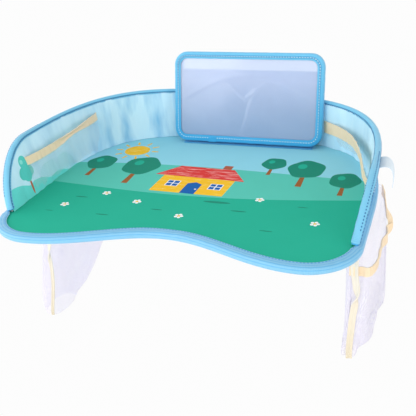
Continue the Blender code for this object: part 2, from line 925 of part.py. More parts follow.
def build_buckle():
    """Side release buckle: socket, plug and two sprung prongs."""
    middle, out, up = buckle_frame()
    tilt = -math.asin(out.z)
    frame = add_empty("buckle_frame", middle, (-tilt, 0.0, 0.0))
    half_w = buckle_width / 2
    half_t = buckle_thickness / 2
    mouth = socket_length / 2
    back = -socket_length / 2
    overrun = buckle_round

    socket = box("buckle_socket", (back, -half_t, -half_w), (mouth, half_t, half_w),
                 "buckle_plastic", frame)
    round_edges(socket, buckle_round)
    half_cavity = cavity_width / 2
    half_room = cavity_thickness / 2
    combine(socket, box("socket_cavity", (back + cavity_floor, -half_room, -half_cavity),
                        (mouth + overrun, half_room, half_cavity), None, frame), "DIFFERENCE")
    window_near = mouth - window_start - window_length
    combine(socket, box("socket_windows", (window_near, -half_room, -half_w - overrun),
                        (window_near + window_length, half_room, half_w + overrun),
                        None, frame), "DIFFERENCE")
    add_strap_bar(socket, back, -1, frame)

    plug_face = mouth + clearance
    plug_back = plug_face + shoulder_length
    plug = box("buckle_plug", (plug_face, -half_t, -half_w), (plug_back, half_t, half_w),
               "buckle_plastic", frame)
    round_edges(plug, buckle_round)
    half_guide = guide_width / 2
    half_prong = prong_thickness / 2
    combine(plug, box("plug_guide", (plug_face - guide_length, -half_prong, -half_guide),
                      (plug_face + overrun, half_prong, half_guide), None, frame), "UNION")
    add_strap_bar(plug, plug_back, 1, frame)
    for label, side in (("upper", 1), ("lower", -1)):
        build_prong(label, side, plug_face, frame)


def strap_bar_x(side):
    """Place of each strap bar along the buckle."""
    body = socket_length / 2
    if side > 0:
        body += clearance + shoulder_length
    return side * (body + ear_length - bar_radius)


def add_strap_bar(item, face, side, frame):
    """Two ears and the round bar that the webbing loops round."""
    half_w = buckle_width / 2
    far = face + side * ear_length
    near = face - side * buckle_round
    low_x, high_x = min(near, far), max(near, far)
    for label, end in (("upper", 1), ("lower", -1)):
        edges = sorted((end * half_w, end * (half_w - ear_width)))
        ear = box(item.name + "_ear_" + label, (low_x, -bar_radius, edges[0]),
                  (high_x, bar_radius, edges[1]), None, frame)
        combine(item, ear, "UNION")
    rod = bar(item.name + "_bar", bar_radius, buckle_width - ear_width,
              (strap_bar_x(side), 0.0, 0.0), frame)
    combine(item, rod, "UNION")


def build_prong(label, side, plug_face, frame):
    """Springy arm of the plug with the head that latches in the window."""
    root = plug_face - clearance
    tip = root - prong_length
    head = tip + prong_head_length
    inner = prong_gap / 2
    outer = inner + prong_width
    reach = buckle_width / 2 + prong_head_proud
    slope = prong_head_slope_length
    outline_points = [(root, inner), (root, outer), (head + slope, outer), (head, reach),
                      (tip + slope, reach), (tip, outer), (tip, inner)]
    half = prong_thickness / 2
    rings = [[(along, depth, side * across) for along, across in outline_points]
             for depth in (-half, half)]
    pivot = Vector((root - prong_width / 2, 0.0, side * (inner + outer) / 2))
    axis = add_empty("prong_axis_" + label, pivot)
    axis.parent = frame
    rings = [[Vector(point) - pivot for point in ring] for ring in rings]
    name = "buckle_prong_" + label
    add_part(name, lofted_mesh(name, rings), "buckle_plastic", axis)


def build_keeper():
    """Loop that slides along the strap and holds down its tail."""
    middle, out, up = buckle_frame()
    tilt = -math.asin(out.z)
    centre = middle + Vector((strap_bar_x(1) + keeper_distance, 0.0, 0.0))
    axis = add_empty("keeper_slide_axis", centre, (-tilt, 0.0, 0.0))
    half_x = keeper_length / 2
    room_y = leg_offset() + strap_thickness / 2 + keeper_play
    room_z = strap_width / 2 + keeper_play
    outer_y = room_y + keeper_wall
    outer_z = room_z + keeper_wall
    keeper = box("strap_keeper", (-half_x, -outer_y, -outer_z), (half_x, outer_y, outer_z),
                 "buckle_plastic", axis)
    round_edges(keeper, buckle_round)
    combine(keeper, box("keeper_opening", (-half_x - keeper_wall, -room_y, -room_z),
                        (half_x + keeper_wall, room_y, room_z), None, axis), "DIFFERENCE")


clear_scene()
parts = make_collection("car_seat_tray_table")
tools = make_collection("shaping_tools")
build_tray()
build_wall()
build_rim()
build_pocket(1, right_pocket_front_distance, right_pocket_back_distance,
             right_pocket_front_height, right_pocket_back_height)
build_pocket(-1, left_pocket_front_distance, left_pocket_back_distance,
             left_pocket_front_height, left_pocket_back_height)
build_holder()
build_bag(1)
build_bag(-1)
build_strap(1, strap_bar_x(1), strap_tail, "seat_strap_right")
build_strap(-1, strap_bar_x(-1), socket_tail, "seat_strap_left")
build_patch(1, "strap_patch_right")
build_patch(-1, "strap_patch_left")
build_buckle()
build_keeper()
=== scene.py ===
"""Looks of the car seat tray table: cloth, tapes, nets, film, print and light."""
import math

import bmesh
import bpy
import numpy as np
from mathutils import Matrix, Vector, noise
from mathutils.geometry import delaunay_2d_cdt


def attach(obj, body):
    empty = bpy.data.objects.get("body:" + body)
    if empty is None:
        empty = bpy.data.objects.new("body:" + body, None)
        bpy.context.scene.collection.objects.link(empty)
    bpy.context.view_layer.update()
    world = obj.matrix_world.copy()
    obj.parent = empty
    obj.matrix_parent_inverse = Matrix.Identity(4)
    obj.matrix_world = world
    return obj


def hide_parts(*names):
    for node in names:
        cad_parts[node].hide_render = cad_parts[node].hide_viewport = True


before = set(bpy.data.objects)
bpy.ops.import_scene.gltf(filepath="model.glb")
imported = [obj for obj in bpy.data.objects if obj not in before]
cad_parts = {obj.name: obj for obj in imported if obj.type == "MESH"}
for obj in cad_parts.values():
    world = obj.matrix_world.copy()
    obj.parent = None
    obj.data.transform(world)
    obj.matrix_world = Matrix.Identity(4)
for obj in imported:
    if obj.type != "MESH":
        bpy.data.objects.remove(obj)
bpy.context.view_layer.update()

# Sizes shared with the solids, in metres
gap = 0.0003
cloth = 0.0008
elastic_thick = 0.0012
tray_half_width = 0.189
tray_half_length = 0.156
belly_depth = 0.038
lobe_side = 0.043
lobe_front = 0.044
back_length = 0.21
back_exponent = 3.3
core_thick = 0.0028
edge_width = 0.0095
edge_corner = 0.002
foam_thick = 0.001
wall_height = 0.0575
wall_height_lean = 0.005
wall_end_height = 0.003
wall_rise_length = 0.0735
wall_rise_exponent = 0.7
lean_back = 0.16
lean_front = 0.29
lean_change = 0.25
right_upright = 0.1
tray_top = cloth + gap + core_thick + gap + cloth
wall_thick = 2 * cloth + foam_thick + 2 * gap
wall_foot = tray_top + gap
lobe_centre_y = lobe_front - tray_half_length
back_centre_y = tray_half_length - back_length
binding_bottom = -gap - cloth
binding_top = tray_top + gap + cloth

# Sizes of the visible cloth and its stitches
tape_thick = 0.0007
wall_cloth_thick = 0.0005
strip_thick = 0.0006
net_thick = 0.0003
band_thick = 0.0009
film_thick = 0.0002
stitch_pitch = 0.0034
base_seam_inset = 0.0014
holder_seam_inset = 0.0034


# Curves that the cloth follows

def ease(share):
    share = min(max(share, 0.0), 1.0)
    return share * share * (3 - 2 * share)


def bell(value, middle, spread):
    return math.exp(-((value - middle) / spread) ** 2)


def unit(rows):
    return rows / np.linalg.norm(rows, axis=1)[:, None]


def read_off(run, runs, rows):
    """Both columns of some rows at a run between them."""
    return [float(np.interp(run, runs, rows[:, axis])) for axis in (0, 1)]


def walk(share, parts):
    """Point at a share of a section made of parts, each its length and a
    function of the run within it."""
    run = share * sum(length for length, _ in parts)
    for length, place in parts[:-1]:
        if run < length:
            return place(run)
        run -= length
    return parts[-1][1](run)


def wave(run, seed, pitch):
    """Uneven wave from about -1 to 1 along a run, the same each time."""
    return 2.0 * noise.noise(Vector((run / pitch, seed * 7.31, 0.5)))


def foot_curve():
    """Foot of the wall from its right end round the back to its left end."""
    turn = np.linspace(0.0, math.pi / 2, 400)
    power = 2 / back_exponent
    across = tray_half_width * np.cos(turn) ** power
    along = back_centre_y + back_length * np.sin(turn) ** power
    across[-1] = 0.0
    side = np.linspace(lobe_centre_y, back_centre_y, 100)[:-1]
    right = np.vstack([np.c_[np.full(len(side), tray_half_width), side],
                       np.c_[across, along]])
    return np.vstack([right, right[-2::-1] * [-1, 1]])


foot = foot_curve()
foot_run = np.r_[0.0, np.cumsum(np.hypot(*np.diff(foot, axis=0).T))]
wall_length = float(foot_run[-1])
foot_tangent = np.gradient(foot, foot_run, axis=0)
foot_normal = unit(np.c_[foot_tangent[:, 1], -foot_tangent[:, 0]])


def foot_at(run):
    out_x, out_y = read_off(run, foot_run, foot_normal)
    size = math.hypot(out_x, out_y)
    return read_off(run, foot_run, foot), (out_x / size, out_y / size)


def from_end(run):
    return min(run, wall_length - run)


def run_from(side, near):
    """Run of a place that is so far from the wall's front end on a side."""
    return near if side > 0 else wall_length - near


def height_at(run):
    near = from_end(run)
    rise = 1.0
    if near < wall_rise_length:
        rise = (1 - (1 - max(near, 0.0) / wall_rise_length) ** 2) ** wall_rise_exponent
    full = wall_height - wall_height_lean * foot_at(run)[0][0] / tray_half_width
    return wall_end_height + (full - wall_end_height) * rise


def lean_at(run):
    lean = lean_back + (lean_front - lean_back) * (1 - ease(from_end(run) / lean_change))
    return lean - right_upright * max(foot_at(run)[0][0], 0.0) / tray_half_width


def wall_point(run, height, offset):
    """Point at a height on the wall, offset outwards from its inner face."""
    (across, along), (out_x, out_y) = foot_at(run)
    reach = offset + lean_at(run) * height
    return Vector((across + out_x * reach, along + out_y * reach, wall_foot + height))


def wall_out(run):
    _, (out_x, out_y) = foot_at(run)
    return Vector((out_x, out_y, -lean_at(run))).normalized()


def tray_line():
    """Closed outline of the tray inside its binding, with outward normals."""
    count_wall, count_lobe, count_belly = 220, 16, 60
    reach = tray_half_width - lobe_side

    def lobe(middle, start):
        turns = [start + math.pi / 2 * step / count_lobe for step in range(1, count_lobe)]
        return [(middle + lobe_side * math.cos(turn),
                 lobe_centre_y + lobe_front * math.sin(turn)) for turn in turns]

    shares = np.linspace(0.0, 1.0, count_wall + 1)
    runs = (shares - 0.7 * np.sin(math.tau * shares) / math.tau) * wall_length
    points = [foot_at(run)[0] for run in runs] + lobe(-reach, math.pi)
    for step in range(count_belly + 1):
        across = reach * (2 * step / count_belly - 1)
        rise = belly_depth * (1 + math.cos(math.pi * across / reach)) / 2
        points.append((across, rise - tray_half_length))
    line = np.array(points + lobe(reach, -math.pi / 2))
    tangent = unit(np.roll(line, -1, axis=0) - line)
    tangent = tangent + unit(line - np.roll(line, 1, axis=0))
    return line, unit(np.c_[tangent[:, 1], -tangent[:, 0]])


# Making meshes

def only(item=None):
    """Selects one object alone, or none."""
    for other in bpy.context.selected_objects:
        other.select_set(False)
    if item:
        item.select_set(True)
        bpy.context.view_layer.objects.active = item


def add_grid(name, counts, place, size, closed=False):
    """A plain grid laid out by a function of its two shares, with a UV map
    in metres, from its size or by a function of the shares. A closed grid
    joins its first row to its last."""
    only()
    bpy.ops.mesh.primitive_grid_add(x_subdivisions=counts[0], y_subdivisions=counts[1],
                                    size=2.0)
    item = bpy.context.object
    data = item.data
    item.name = data.name = name
    shares = [((v.co.x + 1) / 2, (v.co.y + 1) / 2) for v in data.vertices]
    for vertex, (along, across) in zip(data.vertices, shares):
        vertex.co = place(along, across)
    layer = data.uv_layers[0].data
    for loop in data.loops:
        along, across = shares[loop.vertex_index]
        flat = size(along, across) if callable(size) else (along * size[0], across * size[1])
        layer[loop.index].uv = flat
    if closed:
        shape = bmesh.new()
        shape.from_mesh(data)
        bmesh.ops.remove_doubles(shape, verts=shape.verts, dist=0.00002)
        shape.to_mesh(data)
        shape.free()
    return item


def face_outwards(item):
    only(item)
    bpy.ops.object.mode_set(mode="EDIT")
    bpy.ops.mesh.select_all(action="SELECT")
    bpy.ops.mesh.normals_make_consistent(inside=False)
    bpy.ops.mesh.delete_loose()
    bpy.ops.object.mode_set(mode="OBJECT")


def modified(item, kind, **values):
    only(item)
    change = item.modifiers.new("change", kind)
    for name, value in values.items():
        setattr(change, name, value)
    bpy.ops.object.modifier_apply(modifier=change.name)


def shade(item, degrees):
    only(item)
    bpy.ops.object.shade_smooth_by_angle(angle=math.radians(degrees))


def finish_piece(item, body, slot, *nodes):
    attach(item, body)
    if nodes:
        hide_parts(*nodes)


def sewn(item, finish, thickness, offset, degrees, body, slot, *nodes):
    """Gives a flat grid its material, thickness and smooth faces, and its
    place on a body. Its area before that comes back."""
    item.data.materials.append(finish.material)
    area = sum(face.area for face in item.data.polygons)
    modified(item, "SOLIDIFY", thickness=thickness, offset=offset)
    shade(item, degrees)
    finish_piece(item, body, slot, *nodes)
    return area


def new_object(name, points, faces):
    data = bpy.data.meshes.new(name)
    data.from_pydata(points, [], faces)
    data.update()
    item = bpy.data.objects.new(name, data)
    bpy.context.scene.collection.objects.link(item)
    return item


def stitch_shape(length, width, height):
    """One stitch, a small thread bead rounded at both ends."""
    only()
    bpy.ops.mesh.primitive_uv_sphere_add(segments=8, ring_count=5, radius=1.0)
    item = bpy.context.object
    item.data.transform(Matrix.Rotation(math.pi / 2, 4, "Y"))
    item.data.transform(Matrix.Diagonal((length / 2, width / 2, height / 2, 1.0)))
    points = np.array([v.co[:] for v in item.data.vertices])
    faces = sorted(tuple(face.vertices) for face in item.data.polygons)
    bpy.data.objects.remove(item)
    return points, faces


def stitch_places(line):
    """A matrix for each stitch along a line of points with the way that the
    cloth faces there: X along the line, Z off the cloth."""
    points = [Vector(point) for point, _ in line]
    faces = [Vector(face) for _, face in line]
    runs = [0.0]
    for ahead, behind in zip(points[1:], points):
        runs.append(runs[-1] + (ahead - behind).length)
    count = int(runs[-1] / stitch_pitch)
    here = 0
    for step in range(count):
        run = (step + 0.5) * runs[-1] / count
        while here < len(runs) - 2 and runs[here + 1] < run:
            here += 1
        share = (run - runs[here]) / max(runs[here + 1] - runs[here], 1e-9)
        along = (points[here + 1] - points[here]).normalized()
        face = faces[here].lerp(faces[here + 1], share)
        face = (face - along * face.dot(along)).normalized()
        matrix = Matrix((along, face.cross(along), face)).transposed().to_4x4()
        matrix.translation = points[here].lerp(points[here + 1], share)
        yield matrix


def stitch_row(name, shape, line, finish, body, slot):
    """A row of stitches along a line, as one mesh."""
    bead, bead_faces = shape
    points = []
    faces = []
    for index, matrix in enumerate(stitch_places(line)):
        points.append(bead @ np.array(matrix.to_3x3()).T + np.array(matrix.translation))
        start = index * len(bead)
        faces += [tuple(start + corner for corner in face) for face in bead_faces]
    item = new_object(name, np.vstack(points).tolist(), faces)
    item.data.materials.append(finish.material)
    item.data.shade_smooth()
    finish_piece(item, body, slot)


def rolled(middle, half, face, angle):
    """Half width of a band turned about its length by an angle."""
    return middle + half * math.cos(angle) + face * (half.length * math.sin(angle))


# Materials

def linear(red, green, blue):
    """Linear colour from 0-255 screen values."""
    parts = [value / 255 for value in (red, green, blue)]
    return tuple(part / 12.92 if part < 0.04045 else ((part + 0.055) / 1.055) ** 2.4
                 for part in parts)


def darker(colour, share):
    return tuple(part * share for part in colour)


class Nodes:
    """Adds nodes to a tree. Each method gives back an output socket."""

    def __init__(self, tree):
        self.tree = tree

    def feed(self, socket, value):
        """Gives a socket a number, a colour, a vector or another socket."""
        if isinstance(value, tuple):
            socket.default_value = value if socket.type == "VECTOR" else (*value, 1.0)
        elif isinstance(value, (int, float)):
            socket.default_value = value
        else:
            self.tree.links.new(value, socket)

    def node(self, kind, inputs=None, **settings):
        node = self.tree.nodes.new("ShaderNode" + kind)
        for name, setting in settings.items():
            setattr(node, name, setting)
        for name, value in (inputs or {}).items():
            self.feed(node.inputs[name], value)
        return node.outputs

    def calc(self, operation, *values):
        return self.node("Math", dict(enumerate(values)), operation=operation)[0]

    def times(self, first, second):
        return self.calc("MULTIPLY", first, second)

    def mix(self, factor, first, second):
        return self.node("Mix", {0: factor, 6: first, 7: second}, data_type="RGBA")[2]

    def ramp(self, value, start, end, low=0.0, high=1.0):
        """Runs from low to high while a value runs from start to end."""
        return self.node("MapRange", {"Value": value, "From Min": start, "From Max": end,
                                      "To Min": low, "To Max": high})[0]

    def above(self, value, soft):
        """One where a value is above zero, with a soft edge."""
        return self.ramp(value, -soft, soft)

    def sine(self, value, scale):
        return self.calc("SINE", self.times(value, scale))

    def seen_directly(self):
        """One for rays from the camera, off a gloss or through a film."""
        rays = self.node("LightPath")
        seen = self.calc("MAXIMUM", rays["Is Camera Ray"], rays["Is Glossy Ray"])
        return self.calc("MAXIMUM", seen, rays["Is Transmission Ray"])


class Finish(Nodes):
    """A material on Principled BSDF, with its pattern's coordinates."""

    def __init__(self, name, roughness, sheen=0.0, kind="UV", specular=0.3):
        self.material = bpy.data.materials.new(name)
        self.material.use_nodes = True
        super().__init__(self.material.node_tree)
        self.shader = self.tree.nodes["Principled BSDF"]
        self.feed(self.shader.inputs["Roughness"], roughness)
        self.feed(self.shader.inputs["Specular IOR Level"], specular)
        if sheen:
            self.feed(self.shader.inputs["Sheen Weight"], sheen)
            self.feed(self.shader.inputs["Sheen Roughness"], 0.4)
        self.source = self.node("TexCoord")[kind]

    def split(self, kind=None):
        source = self.node("TexCoord")[kind] if kind else self.source
        return self.node("SeparateXYZ", {0: source})

    def clouds(self, scale, detail=2.0, source=None):
        return self.node("TexNoise", {"Vector": source or self.source, "Scale": scale,
                                      "Detail": detail})["Fac"]

    def stretched(self, across, along):
        """The pattern's coordinates turned a little and stretched."""
        return self.node("Mapping", {"Vector": self.source, "Scale": (across, along, 1.0),
                                     "Rotation": (0.0, 0.0, 0.12)})[0]

    def ridges(self, pitch, direction):
        """Soft ridges with a pitch in metres across one axis of the cloth."""
        return self.node("TexWave", {"Vector": self.source, "Scale": math.tau / 20 / pitch},
                         bands_direction=direction)["Fac"]

    def weave(self, pitch):
        return self.times(self.ridges(pitch, "X"), self.ridges(pitch, "Y"))

    def mottled(self, colour, shade, scale=60.0):
        """Colour with soft cloudy variation, as dyed cloth has."""
        return self.mix(self.clouds(scale, 3.0), darker(colour, shade), colour)

    def ovals(self, across, up, *places):
        """One inside any of some ovals, each its centre and half sizes."""
        shown = None
        for middle_x, middle_y, half_x, half_y in places:
            parts = []
            for value, middle, half in ((across, middle_x, half_x), (up, middle_y, half_y)):
                part = self.times(self.calc("SUBTRACT", value, middle), 1 / half)
                parts.append(self.times(part, part))
            oval = self.above(self.calc("SUBTRACT", 1.0, self.calc("ADD", *parts)), 0.03)
            shown = oval if shown is None else self.calc("MAXIMUM", shown, oval)
        return shown

    def paint(self, colour):
        """Sets the surface's colour and keeps it for what goes over it."""
        self.colour = colour
        self.feed(self.shader.inputs["Base Color"], colour)

    def bump(self, height, distance, strength):
        normal = self.node("Bump", {"Height": height, "Distance": distance,
                                    "Strength": strength})["Normal"]
        self.feed(self.shader.inputs["Normal"], normal)
        return self

    def seam_lines(self, colour, width, places):
        """Adds darker stitched lines along a tape, at places across it."""
        across = self.split("UV")[1]
        base = self.colour
        for place in places:
            away = self.calc("ABSOLUTE", self.calc("SUBTRACT", across, place))
            line = self.above(self.calc("SUBTRACT", width / 2, away), width / 5)
            base = self.mix(self.times(line, 0.7), base, colour)
        self.paint(base)
        return self

    def painted_shade_upward(self, shade_colour, low, high):
        """Adds painted shade towards the foot of a piece: a deeper colour by its height."""
        rise = self.ramp(self.split("Object")[2], low, high)
        self.paint(self.mix(rise, shade_colour, self.colour))
        return self


def woven_cloth(name, colour, pitch=0.0009):
    """Fine plain weave with a soft sheen."""
    made = Finish(name, 0.72, 0.25)
    weave = made.weave(pitch)
    made.paint(made.mix(weave, made.mottled(colour, 0.86), darker(colour, 0.93)))
    return made.bump(weave, 0.00012, 0.6)


def lining_print(made, base, length):
    """Small hills, a round tree and dots at both ends of the wall."""
    run, up, _ = made.split()
    near = made.calc("MINIMUM", run, made.calc("SUBTRACT", length, run))
    dots = made.times(made.sine(near, 1500.0), made.sine(up, 1500.0))
    dots = made.above(made.calc("SUBTRACT", dots, 0.35), 0.1)
    patch = made.ovals(near, up, (0.088, 0.0, 0.024, 0.026), (0.12, 0.0, 0.02, 0.024))
    colour = made.mix(made.times(dots, patch), base, linear(70, 196, 192))
    waves = made.calc("ABSOLUTE", made.sine(near, 75.0))
    crest = made.calc("MULTIPLY_ADD", near, -0.16, 0.02)
    crest = made.calc("MULTIPLY_ADD", waves, 0.004, crest)
    hills = made.above(made.calc("SUBTRACT", crest, up), 0.0003)
    colour = made.mix(hills, colour, linear(104, 220, 214))
    trunk = ((0.046, 0.013, 0.0017, 0.011),)
    crown = ((0.046, 0.04, 0.007, 0.008), (0.0405, 0.0285, 0.0085, 0.0075),
             (0.0515, 0.0275, 0.0085, 0.007), (0.046, 0.0235, 0.0075, 0.006))
    light = ((0.0435, 0.0415, 0.0024, 0.0026),)
    for places, ink in ((trunk, linear(186, 104, 60)), (crown, linear(84, 204, 194)),
                        (light, linear(140, 226, 216))):
        colour = made.mix(made.ovals(near, up, *places), colour, ink)
    return colour


def gathered_cloth(name, light, fold_shade_colour, length=None):
    """Soft wall cloth: fine weave, painted shade in its upright folds. With a
    length it is the lining, its fold shade calmer near its ends, with the print."""
    made = Finish(name, 0.7, 0.2)
    # Painted shade: a stretched noise gives the folds a deeper colour where it is high.
    folds = made.clouds(1.0, 3.0, made.stretched(46.0, 11.0))
    shown = made.ramp(folds, 0.46, 0.72, 0.0, 0.95)
    # The painted fold shade is weaker towards both ends of the lining.
    if length:
        run = made.split()[0]
        for start, end, least in ((0.3, 0.42, 0.3), (length - 0.15, length - 0.23, 0.35)):
            shown = made.times(shown, made.ramp(run, start, end, least))
    base = made.mix(shown, light, fold_shade_colour)
    if length:
        base = lining_print(made, base, length)
    weave = made.weave(0.0009)
    made.paint(made.mix(weave, base, made.mix(0.06, base, fold_shade_colour)))
    return made.bump(made.calc("MULTIPLY_ADD", weave, 0.04, folds), 0.004, 0.7)


def ribbed_tape(name, colour, pitch=0.0012, depth=0.0002):
    """Woven binding tape with fine ribs across it, and painted shade in the grooves between
    the ribs.
    """
    made = Finish(name, 0.6, 0.3)
    ribs = made.ridges(pitch, "X")
    height = made.calc("MULTIPLY_ADD", made.ridges(0.0007, "Y"), 0.25, ribs)
    made.paint(made.mix(ribs, darker(colour, 0.84), made.mottled(colour, 0.88, 90.0)))
    return made.bump(height, depth, 0.7)


def thread(name, colour):
    made = Finish(name, 0.5, 0.2, "Object")
    twist = made.ridges(0.0006, "DIAGONAL")
    # Painted shade: darker colour in the grooves of the twist.
    made.paint(made.mix(twist, darker(colour, 0.8), colour))
    return made.bump(twist, 0.0001, 0.5)


def net_cloth(name, colour, pitch, thread_share):
    """Knitted net: crossed threads with open holes between them."""
    made = Finish(name, 0.65, 0.2)
    along, across, _ = made.split()
    lines = [made.calc("ABSOLUTE", made.sine(made.calc("MULTIPLY_ADD", across, sign, along),
                                             math.pi / pitch)) for sign in (1.0, -1.0)]
    shown = made.ramp(made.calc("MINIMUM", *lines), thread_share - 0.08,
                      thread_share + 0.08, 1.0, 0.01)
    made.feed(made.shader.inputs["Alpha"], shown)
    made.paint(made.mottled(colour, 0.9, 40.0))
    return made.bump(shown, 0.0002, 0.4)


def elastic_tape(name, colour):
    """Woven elastic: fine cords along it and gathered ribs across it, with
    painted shade in the grooves between the cords.
    """
    made = Finish(name, 0.68, 0.25)
    cords = made.ridges(0.0016, "Y")
    height = made.calc("MULTIPLY_ADD", made.clouds(420.0, 1.0), 0.6, cords)
    made.paint(made.mix(cords, darker(colour, 0.9), made.mottled(colour, 0.92, 80.0)))
    return made.bump(height, 0.0003, 0.7)


def clear_film(name, colour, alpha):
    """Soft clear film with faint clouding, glossy on top."""
    made = Finish(name, 0.12, specular=0.6)
    clouds = made.clouds(30.0, 3.0)
    made.paint(made.mix(clouds, colour, darker(colour, 0.93)))
    made.feed(made.shader.inputs["Alpha"],
              made.calc("MULTIPLY_ADD", clouds, 0.12, alpha - 0.06))
    return made.bump(made.clouds(18.0), 0.0008, 0.35)


def moulded_plastic(name, colour):
    made = Finish(name, 0.34, kind="Object")
    made.paint(made.mottled(colour, 0.92, 50.0))
    return made.bump(made.clouds(900.0), 0.00005, 0.4)


def printed_cloth(name, colour, stroke=None, stroke_share=0.0):
    """Print on smooth cloth, with loose brush strokes where it has them."""
    made = Finish(name, 0.75, kind="Object", specular=0.12)
    weave = made.weave(0.0008)
    base = made.mottled(colour, 0.93, 35.0)
    if stroke:
        streaks = made.clouds(1.0, source=made.stretched(40.0, 900.0))
        start = 1 - stroke_share - 0.02
        made.paint(made.mix(made.ramp(streaks, start, start + 0.04), base, stroke))
    else:
        made.paint(made.mix(weave, base, darker(colour, 0.96)))
    return made.bump(weave, 0.0001, 0.5)


# Both wall cloths carry painted shade in their folds.
lining_cloth = gathered_cloth("light_blue_lining", linear(204, 240, 255),
                              linear(112, 184, 226), wall_length)
cover_cloth = gathered_cloth("light_blue_cover", linear(178, 226, 250),
                             linear(150, 208, 242))
under_blue = woven_cloth("light_blue_under", linear(170, 220, 248))
base_tape = ribbed_tape("base_binding_tape", linear(136, 200, 235)).seam_lines(
    linear(88, 168, 216), 0.0012, (0.0034, 0.0068, 0.0102, 0.0134))
# The rim tape's dark lines at its hems and where it turns over the wire are partly the
# stitched seams' tone and partly painted shade in those grooves.
rim_tape = ribbed_tape("rim_binding_tape", linear(128, 206, 240)).seam_lines(
    linear(40, 122, 176), 0.0013, (0.0022, 0.0032, 0.0132, 0.0148))
# Painted shade: the holder's tape runs to a deeper blue towards its foot.
holder_tape = ribbed_tape("holder_binding_tape", linear(116, 202, 243)).seam_lines(
    linear(30, 126, 188), 0.0026, (0.0034, 0.0226)).painted_shade_upward(
    linear(60, 168, 222), 0.012, 0.1)
base_thread = thread("base_thread", linear(84, 160, 218))
rim_thread = thread("rim_thread", linear(44, 118, 176))
holder_thread = thread("holder_thread", linear(210, 242, 253))
pocket_net = net_cloth("pocket_net", linear(240, 250, 255), 0.0026, 0.085)
bag_net = net_cloth("bag_net", linear(244, 236, 255), 0.0021, 0.155)
beige_elastic = elastic_tape("beige_elastic", linear(255, 230, 194))
# Painted shade: the hanging tape is deeper in colour towards its lower end.
cream_elastic = elastic_tape("cream_elastic", linear(242, 233, 216)).painted_shade_upward(
    linear(222, 210, 184), -0.15, -0.06)
# Painted shade: the window film is deeper in colour towards the holder's foot.
window_film = clear_film("window_film", linear(208, 221, 251), 0.56).painted_shade_upward(
    linear(136, 176, 216), 0.004, 0.088)
# Painted shade: the back panel is deeper in colour towards the holder's foot.
panel_cloth = woven_cloth("holder_panel_cloth", linear(188, 208, 248)).painted_shade_upward(
    linear(116, 160, 206), 0.008, 0.07)
strap_web = ribbed_tape("strap_webbing", linear(96, 180, 232), 0.0022, 0.0004)
fastener_cloth = woven_cloth("fastener_cloth", linear(228, 234, 244), 0.0012)
hook_cloth = woven_cloth("hook_cloth", linear(214, 220, 232), 0.0016)
tab_cloth = woven_cloth("tab_cloth", linear(228, 242, 252))
buckle_plastic = moulded_plastic("buckle_plastic", linear(86, 160, 214))
stitch_large = stitch_shape(0.0022, 0.0012, 0.0009)
stitch_small = stitch_shape(0.002, 0.0014, 0.001)


# Tray base: bottom cover, printed top and the binding round the edge


def inside(point, ring):
    """True where a point lies in a closed ring."""
    across, along = point
    found = False
    for (x1, y1), (x2, y2) in zip(ring, ring[1:] + ring[:1]):
        if (y1 > along) != (y2 > along):
            if across < x1 + (along - y1) * (x2 - x1) / (y2 - y1):
                found = not found
    return found


def flat_cloth(name, height, layers, inks, node, slot):
    """Flat cloth cut to the tray's outline. Each layer is a ring and the name
    of its ink, and later layers lie over earlier ones."""
    points = []
    edges = []
    for ring in [cut_line] + [ring for ring, _ in layers]:
        start = len(points)
        points += [Vector(point) for point in ring]
        edges += [(start + i, start + (i + 1) % len(ring)) for i in range(len(ring))]
    made = delaunay_2d_cdt(points, edges, [], 0, 0.000001)
    corners = made[0]
    numbers = {ink: number for number, ink in enumerate(inks)}
    kept = []
    colours = []
    for face in made[2]:
        middle = sum((corners[i] for i in face), Vector((0.0, 0.0))) / len(face)
        if inside(middle, cut_line):
            over = [numbers[ink] for ring, ink in layers if inside(middle, ring)]
            kept.append(face)
            colours.append(over[-1] if over else 0)
    item = new_object(name, [(p.x, p.y, height) for p in corners], kept)
    for finish in inks.values():
        item.data.materials.append(finish.material)
    item.data.polygons.foreach_set("material_index", colours)
    face_outwards(item)
    modified(item, "SOLIDIFY", thickness=strip_thick, offset=-1.0)
    finish_piece(item, "tray", slot, node)


def disc(across, along, half_width, half_length=None, count=28, wobble=0.0, seed=0):
    half_length = half_length or half_width
    ring = []
    for step in range(count):
        turn = math.tau * step / count
        grow = 1 + wobble * math.sin(5 * turn + seed)
        ring.append((across + half_width * grow * math.cos(turn),
                     along + half_length * grow * math.sin(turn)))
    return ring


def slanted(corners, across, along, turn):
    """Corner points turned and moved to their place in the print."""
    cos, sin = math.cos(turn), math.sin(turn)
    return [(across + x * cos - y * sin, along + x * sin + y * cos) for x, y in corners]


def block(left, right, low, high):
    return [(left, low), (right, low), (right, high), (left, high)]


def hill(seed, rise, start, end):
    """A hill's ring from its crest down past the front of the tray."""
    crest = []
    for step in range(61):
        share = step / 60
        crest.append((-0.22 + 0.44 * step / 60, start + (end - start) * share
                      + rise * math.sin(math.pi * share * 1.25 + seed)))
    return crest + [(0.22, -0.2), (-0.22, -0.2)]


def round_tree(across, along, size):
    foot_y, top_y = along - 0.55 * size, along + 0.1 * size
    return [([(across - 0.06 * size, foot_y), (across + 0.06 * size, foot_y),
              (across + 0.035 * size, top_y), (across - 0.035 * size, top_y)], "trunk"),
            (disc(across, along + 0.28 * size, 0.36 * size, 0.42 * size,
                  36, 0.045, across * 50), "crown"),
            (disc(across - 0.1 * size, along + 0.4 * size, 0.09 * size,
                  0.12 * size, 20), "near_hill")]


